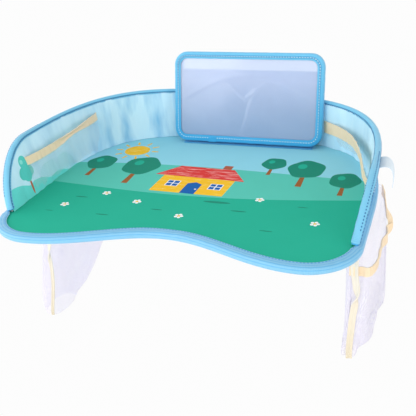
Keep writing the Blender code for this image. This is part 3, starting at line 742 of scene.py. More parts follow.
def small_house():
    parts = [([(-0.046, -0.036), (0.044, -0.034), (0.045, 0.012), (-0.046, 0.012)], "yellow"),
             (block(0.018, 0.029, 0.03, 0.052), "chimney"),
             ([(-0.058, 0.010), (0.056, 0.010), (0.034, 0.041), (-0.036, 0.041)], "roof"),
             ([(-0.008, -0.035), (0.010, -0.035), (0.010, -0.008), (0.001, -0.003),
               (-0.008, -0.008)], "door")]
    layers = [(slanted(corners, -0.012, 0.006, -0.04), ink) for corners, ink in parts]
    layers.append((disc(-0.006, -0.016, 0.0013, count=12), "white"))
    panes = []
    for across in (-0.034, 0.020):
        panes.append((block(across, across + 0.016, -0.019, -0.003), "white"))
        for left, right in ((0.001, 0.0073), (0.0087, 0.015)):
            for low, high in ((-0.018, -0.0117), (-0.0103, -0.004)):
                panes.append((block(across + left, across + right, low, high), "door"))
    return layers + [(slanted(corners, -0.012, 0.006, -0.04), ink) for corners, ink in panes]


def daisy(across, along):
    petals = []
    for turn in range(5):
        angle = math.tau * turn / 5
        petals.append((disc(across + 0.0034 * math.cos(angle),
                            along + 0.0034 * math.sin(angle), 0.0019, count=12), "white"))
    return petals + [(disc(across, along, 0.0017, count=12), "yellow")]


def picture():
    """Rings of a plain picture: hills, a sun, round trees, a house, tufts
    of grass and daisies."""
    layers = [(hill(0.4, 0.012, 0.028, 0.052), "far_hill"),
              (hill(2.6, 0.016, -0.03, -0.008), "near_hill"),
              (disc(-0.125, 0.088, 0.017), "yellow")]
    ray = [(0.021, -0.0016), (0.030, -0.0012), (0.030, 0.0012), (0.021, 0.0016)]
    layers += [(slanted(ray, -0.125, 0.088, math.tau * turn / 10), "yellow")
               for turn in range(10)]
    for across, along, size in ((-0.155, 0.028, 0.052), (-0.098, 0.022, 0.066),
                                (0.108, 0.046, 0.062), (0.158, 0.024, 0.05),
                                (0.066, 0.062, 0.042)):
        layers += round_tree(across, along, size)
    layers += small_house()
    for across, along, size in ((-0.13, -0.06, 0.008), (-0.03, -0.075, 0.007),
                                (0.06, -0.062, 0.009), (0.125, -0.04, 0.006),
                                (0.10, -0.10, 0.007), (-0.085, -0.098, 0.008),
                                (0.03, -0.045, 0.016), (-0.15, -0.10, 0.005)):
        layers.append((disc(across, along, size, size * 0.16, 18), "crown"))
    for across, along in ((-0.105, -0.045), (0.075, -0.03), (0.145, -0.075),
                          (-0.06, -0.06), (0.0, -0.085), (-0.14, -0.082)):
        layers += daisy(across, along)
    return layers


ink_colours = {
    "sky": (linear(148, 217, 233),),
    "far_hill": (linear(92, 200, 182),),
    "near_hill": (linear(39, 178, 149),),
    "yellow": (linear(250, 196, 44), linear(252, 232, 150), 0.36),
    "crown": (linear(34, 140, 116),),
    "trunk": (linear(158, 98, 52),),
    "roof": (linear(222, 62, 58), linear(246, 190, 184), 0.4),
    "door": (linear(28, 100, 176),),
    "chimney": (linear(176, 96, 70),),
    "white": (linear(250, 250, 250),),
}
print_inks = {ink: printed_cloth("print_" + ink, *colours)
              for ink, colours in ink_colours.items()}
tray_points, tray_normals = tray_line()
cloth_edge = edge_width - cloth - 0.0006
cut_line = [tuple(point) for point in tray_points + tray_normals * cloth_edge]
flat_cloth("printed_top", tray_top, picture(), print_inks, "printed_top_sheet",
           "print_cloth")
flat_cloth("under_cloth", cloth, [], {"blue": under_blue}, "bottom_cover",
           "light_blue_cloth")


def base_flap(along):
    """Where the tape's top flap begins: beside the wall, or at the board."""
    past = max(0.0, lobe_centre_y - along)
    return (wall_thick + 2 * gap) * (1 - ease(past / 0.009))


def base_section(flap, share):
    """Tape from its top flap round the edge to its lower flap."""
    centre = edge_width - edge_corner
    top_run = centre - flap
    turn_run = edge_corner * math.pi / 2
    side_run = binding_top - binding_bottom - 2 * edge_corner
    upper = binding_top - 0.0002

    def corner(height, start):
        return lambda run: (centre + edge_corner * math.cos(start - run / edge_corner),
                            height + edge_corner * math.sin(start - run / edge_corner))

    return walk(share, (
        (top_run, lambda run: (flap + run, upper + 0.0004 * math.sin(
            math.pi * min(run / top_run, 1.0)))),
        (turn_run, corner(upper - edge_corner, math.pi / 2)),
        (side_run, lambda run: (edge_width, upper - edge_corner - run)),
        (turn_run, corner(binding_bottom + edge_corner, 0.0)),
        (centre, lambda run: (centre - run, binding_bottom))))


tray_steps = np.roll(tray_points, -1, axis=0) - tray_points
line_run = np.r_[0.0, np.cumsum(np.hypot(*tray_steps.T))]
closed_points = np.vstack([tray_points, tray_points[:1]])
closed_normals = np.vstack([tray_normals, tray_normals[:1]])


def tray_edge_at(share):
    """Point, outward normal and run of the tray's outline at a share."""
    run = share * line_run[-1]
    normal = Vector(read_off(run, line_run, closed_normals)).normalized()
    return read_off(run, line_run, closed_points), normal, run


edge_cache = {}


def base_place(along, across):
    key = round(along, 7)
    if key not in edge_cache:
        edge_cache[key] = tray_edge_at(along % 1.0)
    point, normal, run = edge_cache[key]
    reach, height = base_section(base_flap(point[1]), across)
    pucker = 0.00022 * wave(run, 3.0, 0.0042) * math.sin(math.pi * min(across * 1.6, 1.0))
    reach += pucker * 0.4
    return Vector((point[0] + normal.x * reach, point[1] + normal.y * reach,
                   height + (pucker if across < 0.45 else 0.0)))


base_binding = add_grid("tray_edge_tape", (620, 26), base_place,
                        (float(line_run[-1]), 0.03), closed=True)
sewn(base_binding, base_tape, tape_thick, -1.0, 60.0, "tray", "binding_blue",
     "base_binding")
line = []
for step in range(901):
    point, normal, _ = tray_edge_at(step / 900)
    reach = base_flap(point[1]) + base_seam_inset
    line.append(((point[0] + normal.x * reach, point[1] + normal.y * reach,
                  binding_top + 0.0001 + tape_thick), (0.0, 0.0, 1.0)))
stitch_row("tray_edge_stitches", stitch_large, line, base_thread, "tray", "binding_blue")


# Wall: lining, outer cover and the rim binding

station_cache = {}


def wall_place(run, height_share, offset):
    key = round(run, 6)
    if key not in station_cache:
        point, normal = foot_at(run)
        station_cache[key] = (point, normal, height_at(run), lean_at(run))
    (across, along), (out_x, out_y), full, lean = station_cache[key]
    height = full * height_share
    reach = offset + lean * height
    return Vector((across + out_x * reach, along + out_y * reach, wall_foot + height))


def bunched(share):
    """Runs at shares of the wall, closer together near its steep ends."""
    return (share - 0.6 * math.sin(math.tau * share) / math.tau) * wall_length


def lining_place(along, across):
    run = bunched(along)
    rise = across * 0.056
    arch = math.sin(math.pi * across)
    gathers = wave(run, 1.0, 0.0065) * math.exp(-rise / 0.011)
    drape = wave(run + rise * 0.35, 2.0, 0.034) * arch ** 0.8
    fine = wave(run - rise * 0.5, 4.0, 0.013) * arch
    creases = abs(wave(run + rise * 0.25, 14.0, 0.019)) * arch ** 0.6
    push = 0.0008 * gathers + 0.0017 * drape + 0.001 * fine
    push = -0.0014 + (push - 0.0016 * creases) * ease(from_end(run) / 0.05)
    return wall_place(run, across, min(max(push, -0.005), 0.0003))


def cover_place(along, across):
    run = bunched(along)
    drape = wave(run + across * 0.02, 6.0, 0.03) * math.sin(math.pi * across)
    gathers = wave(run, 8.0, 0.007) * math.exp(-across * 5.0)
    under_strap = bell(across, 0.54, 0.24)
    push = (0.0003 * drape + 0.0003 * gathers) * (1 - 0.9 * under_strap)
    return wall_place(run, across, wall_thick - 0.0002 + push)


def wall_flat(along, across):
    run = bunched(along)
    return run, across * height_at(run)


for name, counts, place, finish, ease_share, held, node in (
        ("wall_lining_cloth", (520, 26), lining_place, lining_cloth, 1.06, "gathered",
         "wall_lining"),
        ("wall_cover_cloth", (420, 18), cover_place, cover_cloth, 1.05, "stretched",
         "wall_cover")):
    item = add_grid(name, counts, place, wall_flat)
    area = sewn(item, finish, wall_cloth_thick, 0.0, 70.0, "tray", "light_blue_cloth", node)


def rim_frame(run):
    """Middle of the rim at a run, with the ways out and up."""
    here = wall_place(run, 1.0, wall_thick / 2)
    ahead = wall_place(min(run + 0.0005, wall_length), 1.0, wall_thick / 2)
    behind = wall_place(max(run - 0.0005, 0.0), 1.0, wall_thick / 2)
    along = (ahead - behind).normalized()
    out = wall_out(run)
    out = (out - along * out.dot(along)).normalized()
    return here, out, out.cross(along)


rim_cache = {}
rim_outer = wall_thick / 2 + gap + cloth
wire_radius = 0.0009
rim_arc = 2 * (gap + wire_radius) - wall_thick / 2 - gap
rim_leg = 0.002
rim_hem = 0.0017
rim_wrap_length = 0.0105


def rim_section(share):
    """Tape from its inner hem over the wire and down to its outer hem."""
    leg = rim_leg + rim_arc
    return walk(share, (
        (leg, lambda run: (0.0004 * bell(run, rim_hem, 0.0006) - rim_outer, run - rim_leg)),
        (math.pi * rim_outer,
         lambda run: (rim_outer * math.cos(math.pi - run / rim_outer),
                      rim_arc + rim_outer * math.sin(math.pi - run / rim_outer))),
        (leg, lambda run: (rim_outer - 0.0004 * bell(leg - run, rim_hem, 0.0006),
                           rim_arc - run))))


def rim_spread(run):
    """The tape lies wider over the low ends of the wall."""
    return 1 + 0.35 * ease((0.1 - from_end(run)) / 0.05)


def rim_place(along, across):
    run = bunched(along)
    key = round(run, 6)
    if key not in rim_cache:
        rim_cache[key] = rim_frame(run)
    here, out, up = rim_cache[key]
    reach, rise = rim_section(across)
    pucker = (1 + 0.05 * wave(run, 11.0, 0.0038)) * rim_spread(run)
    return here + out * reach * pucker + up * rise


rim_binding = add_grid("rim_tape", (640, 22), rim_place, (wall_length, 0.017))
sewn(rim_binding, rim_tape, tape_thick, -1.0, 60.0, "tray", "binding_blue", "rim_binding")


def rim_end(label, run, step):
    """Tape wrapped over the rim's end, down to the base binding."""
    here, out, up = rim_frame(run)
    down = (here - rim_frame(run + step)[0]).normalized()

    def wrap_place(along, across):
        turn = math.tau * across
        size = 1.35 - 1.2 * max(along - 0.75, 0.0) ** 2
        ring = out * math.cos(turn) * rim_outer * size
        ring += up * (math.sin(turn) * (rim_outer + 0.0004) * min(size, 1.15) - 0.0002)
        return (here + down * (along - 0.42) * rim_wrap_length
                + ring * (1 - 0.9 * max(along - 0.93, 0.0) / 0.07))

    wrap = add_grid("rim_end_wrap_" + label, (24, 24), wrap_place, (0.011, 0.018),
                    closed=True)
    wrap.data.materials.append(holder_tape.material)
    face_outwards(wrap)
    shade(wrap, 60.0)
    finish_piece(wrap, "tray", "binding_blue")


def rim_stitches(name, runs, side, lift, level):
    """Stitches along the rim, on a side of it or on its crown."""
    line = []
    for run in runs:
        here, out, up = rim_frame(run)
        face = out * side + up * lift
        line.append((here + out * side * rim_outer * rim_spread(run) + up * level
                     + face * tape_thick, face))
    stitch_row(name, stitch_small, line, rim_thread, "tray", "binding_blue")


rim_end("right", 0.0008, 0.0012)
rim_end("left", wall_length - 0.0008, -0.0012)
for label, side in (("inner", -1.0), ("outer", 1.0)):
    rim_stitches("rim_stitches_" + label, [bunched(step / 900) for step in range(901)],
                 side, 0.0, rim_hem - rim_leg)
for label, start in (("right", 0.004), ("left", wall_length - 0.105)):
    rim_stitches("rim_end_stitches_" + label,
                 [start + 0.101 * step / 160 for step in range(161)],
                 0.42, 0.9, rim_arc + 0.9 * rim_outer)


# Inner pockets: nets with an elastic along the mouth

pocket_floor = 0.002
pocket_bulge = 0.0135
pocket_elastic_width = 0.0135
left_band_width = 0.0094
right_band_width = 0.0148
pockets = {
    "right": (1, 0.075, 0.285, 0.036, 0.034),
    "left": (-1, 0.052, 0.198, 0.044, 0.051),
}


def build_pocket(label):
    side, front, back, front_height, back_height = pockets[label]
    length = back - front
    height = (front_height + back_height) / 2

    def station(along):
        """Share from the front, distance from the wall's front end, height of
        the mouth and how freely the net moves there."""
        share = along if side < 0 else 1 - along
        calm = math.sin(math.pi * share) ** 0.5 if 0 < share < 1 else 0.0
        return (share, front + length * share,
                front_height + (back_height - front_height) * share, calm)

    def pocket_point(share, near, mouth, height_share, away):
        bulge = pocket_bulge * max(math.sin(math.pi * share), 0.0) ** 0.6
        rise = pocket_floor + (mouth - pocket_floor) * height_share
        stand_off = 2 * gap + cloth / 2 + bulge * math.sin(height_share * math.pi / 2)
        return wall_point(run_from(side, near), rise, -stand_off - away)

    def net_place(along, across):
        share, near, mouth, calm = station(along)
        folds = wave(near, 21.0 + side, 0.011) * across ** 1.5 * 0.0008
        folds += wave(near + across * 0.01, 25.0 + side, 0.03) * 0.0007
        return pocket_point(share, near, mouth, across, (folds - 0.0004) * calm)

    def elastic_place(along, across):
        share, near, mouth, calm = station(along)
        squeeze = bell(share, 0.6, 0.2) if side < 0 else 0.0
        width = (left_band_width * (1 - 0.42 * squeeze) if side < 0
                 else right_band_width * (0.4 + 0.6 * ease(share / 0.3)))
        ripple = wave(near, 31.0 + side, 0.0045) * 0.0005 * calm
        away = cloth / 2 + gap + elastic_thick / 2 - 0.0001 + ripple
        low = 1 - width / (mouth - pocket_floor)
        top = pocket_point(share, near, mouth, 1.0, away)
        bottom = pocket_point(share, near, mouth, low, away)
        out_x, out_y = foot_at(run_from(side, near))[1]
        return rolled(top.lerp(bottom, 0.5), (top - bottom) * (across - 0.5),
                      Vector((-out_x, -out_y, 0.0)), 0.55 * squeeze * calm)

    net = add_grid("inner_net_" + label, (180, 30), net_place, (length, height))
    area = sewn(net, pocket_net, net_thick, 0.0, 80.0, "tray", "net",
                "inner_pocket_net_" + label)
    band = add_grid("inner_pocket_band_" + label, (240, 8), elastic_place,
                    (length, pocket_elastic_width))
    sewn(band, beige_elastic, band_thick, 0.0, 70.0, "tray", "beige_elastic",
         "inner_pocket_elastic_" + label)


for label in pockets:
    build_pocket(label)


# Tablet holder

holder_width = 0.199
holder_height = 0.117
holder_depth = 0.011
holder_corner = 0.0175
holder_border = 0.0086
holder_round = 0.0022
holder_slot = 0.014
holder_setback = 0.031
holder_lean = math.radians(12.0)
foot_z = tray_top + 2 * gap + cloth + gap
holder_foot = Vector((0.0145, tray_half_length - holder_setback,
                      foot_z + holder_depth * math.sin(holder_lean)))
holder_turn = Matrix.Translation(holder_foot) @ Matrix.Rotation(-holder_lean, 4, "X")
holder_flat = holder_width - 2 * holder_corner
holder_upright = holder_height - 2 * holder_corner
corner_run = math.pi / 2 * holder_corner
holder_run = 2 * (holder_flat + holder_upright) + 4 * corner_run


def holder_edge_at(run):
    """Point on the holder's outer edge and the way inwards, anticlockwise
    from the middle of its foot."""
    half, low, high = holder_flat / 2, holder_corner, holder_height - holder_corner
    middles = [Vector(place) for place in ((-half, 0, low), (half, 0, low), (half, 0, high),
                                           (-half, 0, high), (-half, 0, low))]
    run = (run + half) % holder_run
    for side, middle in enumerate(middles[:4]):
        length = holder_upright if side % 2 else holder_flat
        if run < length + corner_run or side == 3:
            turn = math.pi / 2 * side + max(run - length, 0.0) / holder_corner
            inward = Vector((-math.sin(turn), 0, math.cos(turn)))
            middle = middle.lerp(middles[side + 1], min(run / length, 1.0))
            return middle - inward * holder_corner, inward
        run -= length + corner_run


def holder_section(share):
    """Tape from its front hem round the edge to its back hem."""
    face = holder_border - holder_round
    turn = holder_round * math.pi / 2
    side = holder_depth - 2 * holder_round
    front, back = 0.0003, holder_depth - 0.0003

    def puff(run):
        return 0.0005 * math.sin(math.pi * run / face)

    return walk(share, (
        (face, lambda run: (holder_border - run, front - puff(run))),
        (turn, lambda run: (holder_round * (1 - math.sin(run / holder_round)),
                            front + holder_round * (1 - math.cos(run / holder_round)))),
        (side, lambda run: (0.0, holder_round + front + run * (1 - 0.0006 / side))),
        (turn, lambda run: (holder_round * (1 - math.cos(run / holder_round)),
                            back - holder_round * (1 - math.sin(run / holder_round)))),
        (face, lambda run: (holder_round + run, back + puff(run)))))


def on_holder(edge, depth):
    return holder_turn @ (edge + Vector((0, depth, 0)))


def holder_place(along, across):
    run = along * holder_run
    edge, inward = holder_edge_at(run)
    reach, depth = holder_section(across)
    pucker = 0.00009 * wave(run, 41.0, 0.0042)
    return on_holder(edge + inward * (reach + pucker), depth + pucker)


def lap_place(along, across):
    """Short end of the tape that laps over its start, below the window."""
    edge, inward = holder_edge_at(-0.052 + 0.011 * along)
    reach, depth = holder_section(0.02 + 0.46 * across)
    lift = 0.0006 if across < 0.6 else 0.0005
    return on_holder(edge + inward * (reach - lift * (across > 0.45)), depth - lift)


holder_binding = add_grid("holder_tape", (420, 30), holder_place, (holder_run, 0.026),
                          closed=True)
sewn(holder_binding, holder_tape, strip_thick, 1.0, 60.0, "holder", "binding_blue",
     "holder_binding")
for label, depth, face in (("front", -0.0003, -1.0), ("back", holder_depth + 0.0003, 1.0)):
    line = []
    for step in range(601):
        edge, inward = holder_edge_at(step / 600 * holder_run)
        line.append((on_holder(edge + inward * (holder_border - holder_seam_inset), depth),
                     holder_turn.to_3x3() @ Vector((0, face, 0))))
    stitch_row("holder_stitches_" + label, stitch_small, line, holder_thread, "holder",
               "binding_blue")
tape_lap = add_grid("holder_tape_lap", (14, 14), lap_place, (0.011, 0.012))
sewn(tape_lap, holder_tape, wall_cloth_thick, 0.0, 60.0, "holder", "binding_blue")

sheet_inset = 0.0022
panel_depth = holder_depth - 2 * cloth - gap
panel_top = holder_height - holder_border - holder_slot


def sheet_point(along, across, top):
    """Across and up on a sheet in the frame, with rounded corners."""
    half, low, high = holder_width / 2 - sheet_inset, sheet_inset, holder_height - sheet_inset
    corner = holder_corner - sheet_inset
    x, z = (2 * along - 1) * half, low + across * (top - low)
    middle_x = half - corner
    for middle_z, up in ((high - corner, 1), (low + corner, -1)):
        over_x, over_z = abs(x) - middle_x, (z - middle_z) * up
        if over_x > 0 and over_z > 0:
            pull = max(over_x, over_z) / math.hypot(over_x, over_z)
            x = math.copysign(middle_x + over_x * pull, x)
            z = middle_z + (z - middle_z) * pull
    return x, z


def film_place(along, across):
    x, z = sheet_point(along, across, holder_height - sheet_inset)
    calm = min(min(along, 1 - along, across * 0.6, (1 - across) * 0.6) * 8, 1.0)
    spread = abs(x + 0.002)
    fold = bell(x, 0.008 + 0.25 * (z - 0.06), 0.0035) * 0.00028 * ease((0.085 - z) / 0.03)
    fold += bell(z, 0.058 + 0.8 * spread, 0.0024) * bell(spread, 0.0, 0.02) * 0.00045
    sag = bell(z, 0.088 - 4.0 * (x - 0.004) ** 2, 0.004) * 0.0002
    billow = 0.00035 * noise.noise(Vector((x * 18, z * 18, 3.0)))
    return holder_turn @ Vector((x, 0.00145 + (billow - fold - sag) * calm, z))


def panel_place(along, across):
    x, z = sheet_point(along, across, panel_top)
    calm = min(min(along, 1 - along) * 10, 1.0) * min(across * 10, 1.0)
    ripple = 0.0003 * noise.noise(Vector((x * 26, z * 20, 9.0))) * calm
    return holder_turn @ Vector((x, panel_depth + 0.0004 + ripple, z))


film = add_grid("window_film_sheet", (150, 96), film_place, (0.195, 0.113))
sewn(film, window_film, film_thick, 0.0, 80.0, "holder", "clear_film", "holder_window")
panel = add_grid("holder_panel_sheet", (110, 60), panel_place, (0.195, 0.094))
sewn(panel, panel_cloth, strip_thick, 0.0, 80.0, "holder", "light_blue_cloth",
     "holder_back_panel")


# Hanging net bags

bag_seam = tray_half_width + edge_width - 0.0265
bag_top = binding_bottom - gap
bag_net_end = 0.985
band_away = 0.0011
flap_width = 0.012
bags = {
    1: {"front": -0.062, "rear": 0.05, "lowest": -0.066, "fullness": 16.0, "slope": 0.022,
        "depth": 0.153, "half": 0.0172, "low_half": 0.013, "flare": 0.0015,
        "squareness": 0.5, "flap": 0.84, "droop": 0.042, "flap_share": 0.36},
    -1: {"front": -0.036, "rear": 0.1, "lowest": -0.08, "fullness": 4.2, "slope": 0.05,
         "depth": 0.152, "half": 0.0185, "low_half": 0.012, "flare": 0.0,
         "squareness": 0.7, "flap": 2.0, "droop": 0.041, "flap_share": 0.0},
}


def pulled(share, power, line, lowest):
    """An edge drawn round to the lowest point near the foot of a bag."""
    return line + (lowest - line) * (1 - math.sqrt(max(1 - share ** power, 0.0)))


def bag_front(side, share):
    bag = bags[side]
    return pulled(share, 30.0, bag["front"] - bag["slope"] * share, bag["lowest"])


def flap_at(side, share):
    return ease((share - bags[side]["flap"]) / 0.07)


def bag_rear(side, share):
    """Rear edge of the net: full down to the flap, a narrow flap below."""
    bag = bags[side]
    line = pulled(share, bag["fullness"], bag["rear"], bag["lowest"])
    return line + (bag_front(side, share) + flap_width - line) * flap_at(side, share)


def mouth_drop(side, turn):
    """How far the outer rim of the mouth hangs below the tray's edge."""
    degrees = math.degrees(turn) % 360
    return bags[side]["droop"] * ease((degrees - 10) / 52) * ease((250 - degrees) / 55)


def signed_power(value, power):
    return math.copysign(abs(value) ** power, value)


def bag_place(side, turn, share, away=0.0):
    """Point of a bag's net at a turn round it and a share of its depth."""
    bag = bags[side]
    depth = bag["depth"]
    cos, sin = math.cos(turn), math.sin(turn)
    top = mouth_drop(side, turn)
    drop = top + (depth - top) * share
    depth_share = min(drop / depth, bag_net_end)
    front, rear = bag_front(side, depth_share), bag_rear(side, depth_share)
    wide = bag["half"] + bag["flare"] * depth_share
    half = bag["low_half"] + (wide - bag["low_half"]) * (1 - depth_share ** 14.0)
    half *= 1 - bag["flap_share"] * flap_at(side, depth_share)
    reach = (rear - front) / 2
    face = Vector((sin / max(half, 0.002), cos / max(reach, 0.002))).normalized()
    along = (front + rear) / 2 + reach * signed_power(cos, bag["squareness"])
    folds = wave(along + drop * 0.12, 51.0 + side, 0.017) * 0.0020
    folds += wave(along - drop * 0.2, 57.0 + side, 0.034) * 0.0016
    folds *= sin ** 2 * ease(drop / 0.03)
    across = half * (1 + signed_power(sin, bag["squareness"]))
    across += face.x * away + folds * sin + gap
    ripple = 0.0012 * wave(across * 3.0 + drop * 0.3, 67.0 + side, 0.02) * ease(drop / 0.04)
    return Vector((side * (bag_seam + max(across, gap)), along + face.y * away + ripple,
                   bag_top - drop))


def build_bag(label, side):
    body = "bag_" + label

    def net_place(along, across):
        return bag_place(side, math.tau * along, across * bag_net_end)

    def mouth_place(along, across):
        turn = math.radians(12 + 183 * along)
        upper = bag_place(side, turn, 0.0, band_away)
        lower = bag_place(side, turn, 0.14, band_away)
        half = (lower - upper).normalized() * (0.0052 + 0.0014 * ease((0.55 - along) / 0.3))
        face = Vector((side * math.sin(turn), math.cos(turn), 0.0))
        roll = math.pi * ease((0.3 - along) / 0.16)
        ripple = 0.0004 * wave(along * 0.2, 61.0 + side, 0.005)
        return (rolled(upper + half, half * (2 * across - 1), face, roll)
                + face * (ripple + 0.001 * math.sin(roll)))

    def tape_place(along, across):
        share = 0.01 + 0.97 * along
        middle = side * (bag_seam + bags[side]["half"] * (0.62 + 0.1 * side))
        sway = 0.0012 * wave(along * 0.14, 71.0 + side, 0.05)
        sway += 0.004 * bell(along, 0.47, 0.13) * side
        half = (across - 0.5) * (0.0078 + 0.0014 * side - 0.0028 * along)
        slant = math.pi * ease((along - 0.42) / 0.2) + 0.35 * math.sin(4.0 * along)
        ahead = gap + 0.0013 + abs(half) * 0.3 + half * math.sin(slant) * 0.8
        return Vector((middle + sway + half * math.cos(slant),
                       bag_front(side, min(share, 0.96)) - ahead,
                       bag_top - bags[side]["depth"] * share))

    net = add_grid("side_bag_net_" + label, (160, 90), net_place, (0.3, 0.16), closed=True)
    if side < 0:
        net.data.flip_normals()
    area = sewn(net, bag_net, net_thick, 0.0, 80.0, body, "net", "bag_net_" + label)
    band = add_grid("side_bag_band_" + label, (120, 6), mouth_place, (0.19, 0.013))
    sewn(band, beige_elastic, band_thick, 0.0, 70.0, body, "beige_elastic",
         "bag_elastic_" + label)
    tape = add_grid("side_bag_tape_" + label, (90, 6), tape_place, (0.14, 0.008))
    sewn(tape, cream_elastic, 0.001, 0.0, 60.0, body, "beige_elastic",
         "bag_edge_tape_" + label)


build_bag("right", 1)
build_bag("left", -1)


# Rear fittings: hinge tape, pads, tabs and the seat strap

def layout(rows):
    """Place function that runs through rows of points at even spacing."""
    def place(along, across):
        down = along * (len(rows) - 1)
        row = min(int(down), len(rows) - 2)
        over = across * (len(rows[0]) - 1)
        column = min(int(over), len(rows[0]) - 2)
        first = rows[row][column].lerp(rows[row][column + 1], over - column)
        second = rows[row + 1][column].lerp(rows[row + 1][column + 1], over - column)
        return first.lerp(second, down - row)
    return place


def strip(name, rows, counts, size, finish, body, slot, node, thickness=strip_thick):
    """A small piece of cloth laid through rows of points, with its area."""
    item = add_grid(name, counts, layout(rows), size)
    modified(item, "SMOOTH", factor=0.5, iterations=3)
    return item, sewn(item, finish, thickness, 0.0, 60.0, body, slot, node)


def run_at_x(across):
    back = foot[:, 1] > back_centre_y
    order = np.argsort(foot[back, 0])
    return float(np.interp(across, foot[back, 0][order], foot_run[back][order]))


def hinge_strip():
    half = holder_width / 2 - 0.012
    low = tray_top + gap + cloth / 2
    rows = [[Vector((holder_foot.x + half * share, holder_foot.y + 0.016 * step, low))
             for step in (0.02, 0.98)] for share in np.linspace(-1.0, 1.0, 12)]
    strip("holder_foot_tape", rows, (90, 8), (2 * half, 0.016), holder_tape,
          "tray", "binding_blue", "hinge_tape")


def pad_and_tab(label, middle):
    """Hook pad on the back of the holder, and the cloth tab from the wall's
    inner face down to it."""
    behind = holder_depth + 2 * gap + cloth
    pad_rows = []
    tab_rows = []
    for share in np.linspace(-0.5, 0.5, 6):
        across = middle + 0.0215 * share
        run = run_at_x(holder_foot.x + across)
        high = height_at(run) - rim_leg - cloth
        pad_rows.append([holder_turn @ Vector((across, behind + 0.0004, 0.03 + rise))
                         for rise in (0.0003, 0.01, 0.0197)])
        tab_rows.append([holder_turn @ Vector((across, behind + 0.0012 + gap + cloth / 2, up))
                         for up in (0.03, 0.05)]
                        + [wall_point(run, up, -2 * gap - cloth)
                           for up in (high - 0.012, high)])
    strip("fastener_pad_" + label, pad_rows, (24, 24), (0.022, 0.02), hook_cloth,
          "holder", "hook_tape", "hook_pad_" + label, 0.001)
    tab, area = strip("wall_tab_" + label, tab_rows, (22, 40), (0.022, 0.05),
                      fastener_cloth, "tray", "hook_tape", "loop_tab_" + label)


strap_height = 0.031
strap_start = 0.085
buckle_half = 0.0045
hook_spread = 0.1
strap_thick = 0.0012
strap_half_width = 0.01
strap_leg = 0.0023
buckle_run = wall_length / 2
buckle_out = wall_out(buckle_run)
buckle_up = buckle_out.cross(Vector((1.0, 0.0, 0.0))) * -1
buckle_middle = wall_point(buckle_run, strap_height, wall_thick + 2 * gap + buckle_half)


def strap_path(side, bar, tail):
    """Middle of the webbing from the side of the wall, straight to the
    buckle, round its bar and back."""
    points = []
    start = buckle_middle + Vector((side * (abs(bar) + tail), 0, 0)) - buckle_out * strap_leg
    for share in np.linspace(0.0, 1.0, 60):
        run = run_from(side, strap_start + (wall_length / 2 - strap_start) * share)
        place = wall_point(run, strap_height, wall_thick + 2 * gap + strap_thick / 2)
        if abs(place.x) > abs(start.x):
            lean = lean_at(run)
            _, (out_x, out_y) = foot_at(run)
            points.append((place, Vector((out_x * lean, out_y * lean, 1.0)).normalized()))
    points.append((start, buckle_up))
    while len(points) > 2:
        first, second, third = (place for place, _ in points[-3:])
        cross = (second.x - first.x) * (third.y - first.y)
        cross -= (second.y - first.y) * (third.x - first.x)
        if cross * side > 0:
            break
        del points[-2]
    centre = buckle_middle + Vector((bar, 0, 0))
    around = [-buckle_out]
    for degrees in range(-105, -285, -15):
        turn = math.radians(degrees)
        around.append(Vector((side * math.cos(turn), 0, 0)) + buckle_out * math.sin(turn))
    points += [(centre + radial * strap_leg, buckle_up) for radial in around]
    points.append((centre + Vector((side * tail, 0, 0)) + buckle_out * strap_leg, buckle_up))
    return points


def strap_strip(label, side, bar, tail):
    path = strap_path(side, bar, tail)
    runs = [0.0]
    for (here, _), (before, _) in zip(path[1:], path):
        runs.append(runs[-1] + (here - before).length)
    rows = []
    for share in np.linspace(0.0, 1.0, 321):
        run = share * runs[-1]
        index = min(int(np.searchsorted(runs, run, "right")) - 1, len(path) - 2)
        part = (run - runs[index]) / (runs[index + 1] - runs[index])
        place = path[index][0].lerp(path[index + 1][0], part)
        rise = path[index][1].lerp(path[index + 1][1], part) * strap_half_width
        rows.append([place - rise, place, place + rise])
    item = add_grid("seat_webbing_" + label, (320, 8), layout(rows),
                    (runs[-1], 2 * strap_half_width))
    sewn(item, strap_web, strap_thick - 0.0001, 0.0, 50.0, "tray", "webbing",
         "seat_strap_" + label)


def patch_strip(label, side):
    """Cloth patch over the strap's end, with a free tab at its top."""
    beside = wall_thick + gap + cloth / 2 + gap
    over = beside + strap_thick + 2 * gap
    levels = [(-0.016, beside), (-0.0103, over), (-0.0035, over), (0.0035, over),
              (0.0103, over), (0.016, beside)]
    for share in np.linspace(0.0, 1.0, 9)[1:]:
        levels.append((0.016 + 0.005 * math.sin(math.pi * share) - 0.024 * share ** 2,
                       beside + 0.019 * math.sin(math.pi / 2 * share)))
    rows = []
    for share in np.linspace(0.0, 1.0, 9):
        row = []
        for number, (rise, offset) in enumerate(levels):
            narrow = 1 - 0.5 * ease((number - 5) / 8)
            run = run_from(side, strap_start + 0.009 + 0.03 * (share - 0.5) * narrow)
            row.append(wall_point(run, strap_height + rise, offset))
        rows.append(row)
    item, area = strip("strap_end_patch_" + label, rows, (30, 64), (0.03, 0.065), tab_cloth,
                       "tray", "light_blue_cloth", "strap_patch_" + label)
    runs = [run_from(side, strap_start - 0.005 + 0.028 * step / 24) for step in range(25)]
    line = [(wall_point(run, strap_height - 0.0145, beside + 0.0006), wall_out(run))
            for run in runs]
    stitch_row("patch_stitches_" + label, stitch_small, line, base_thread, "tray",
               "light_blue_cloth")


hinge_strip()
for label, side, bar, tail in (("right", 1, 0.0254, 0.062), ("left", -1, -0.0211, 0.03)):
    pad_and_tab(label, side * hook_spread / 2)
    strap_strip(label, side, bar, tail)
    patch_strip(label, side)


# Plastic buckle, foam, board and wire keep their own solids

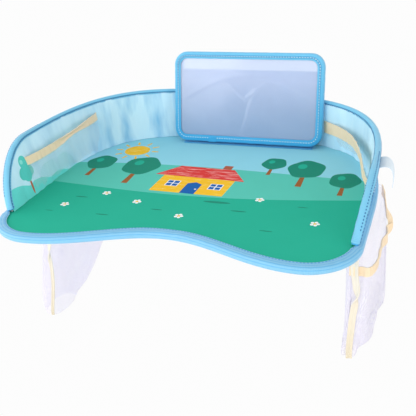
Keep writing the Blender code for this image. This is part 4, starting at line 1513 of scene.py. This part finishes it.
own_solids = {
    buckle_plastic: ("buckle_socket", "buckle_plug", "buckle_prong_upper",
                     "buckle_prong_lower", "strap_keeper"),
    moulded_plastic("board_sheet", linear(232, 232, 228)): ("board_core",),
    moulded_plastic("foam_sheet", linear(240, 240, 240)): ("wall_foam",),
    moulded_plastic("spring_wire", linear(170, 172, 178)): ("rim_wire",),
}
for finish, nodes in own_solids.items():
    for node in nodes:
        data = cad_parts[node].data
        data.materials.clear()
        data.materials.append(finish.material)


# Floor, light and camera

def studio():
    pale = (0.98, 0.98, 0.98)
    only()
    bpy.ops.mesh.primitive_plane_add(size=12.0, location=(0.0, 0.0, -0.42))
    floor = bpy.context.object
    floor.name = "floor"
    white = Finish("floor_white", 0.9)
    white.feed(white.shader.inputs["Base Color"], (0.93, 0.93, 0.93))
    glow = white.node("Emission", {"Color": pale})[0]
    shown = white.node("MixShader", {0: white.seen_directly(), 1: white.shader.outputs[0],
                                     2: glow})[0]
    white.feed(white.tree.nodes["Material Output"].inputs["Surface"], shown)
    floor.data.materials.append(white.material)

    world = bpy.context.scene.world or bpy.data.worlds.new("studio")
    bpy.context.scene.world = world
    world.use_nodes = True
    air = Nodes(world.node_tree)
    back = world.node_tree.nodes["Background"]
    air.feed(back.inputs["Color"], pale)
    air.feed(back.inputs["Strength"], air.ramp(air.seen_directly(), 0.0, 1.0, 0.84, 1.0))

    for name, place, size, power in (("key_light", (-0.8, -1.2, 0.55), 0.8, 5.8),
                                     ("fill_light", (1.2, -0.9, 0.3), 1.0, 6.0),
                                     ("low_light", (-0.45, -1.1, -0.3), 0.9, 4.0),
                                     ("side_light", (-1.2, -0.1, 0.4), 0.9, 5.0)):
        bpy.ops.object.light_add(type="AREA", location=place)
        lamp = bpy.context.object
        lamp.name = name
        lamp.data.size = size
        lamp.data.energy = power
        lamp.rotation_euler = (-Vector(place)).to_track_quat("-Z", "Y").to_euler()


def photo_camera():
    bpy.ops.object.camera_add()
    camera = bpy.context.object
    camera.name = "photo_camera"
    camera.data.lens = 61.25
    camera.data.sensor_width = 36.0
    right = Vector((0.9446, 0.3216, -0.0662))
    up = Vector((-0.0836, 0.4307, 0.8986))
    ahead = Vector((-0.3175, 0.8433, -0.4337))
    matrix = Matrix((right, up, -ahead)).transposed().to_4x4()
    matrix.translation = Vector((0.26964, -0.71036, 0.3392))
    camera.matrix_world = matrix
    bpy.context.scene.camera = camera


studio()
photo_camera()
bpy.context.scene.view_settings.view_transform = "Standard"
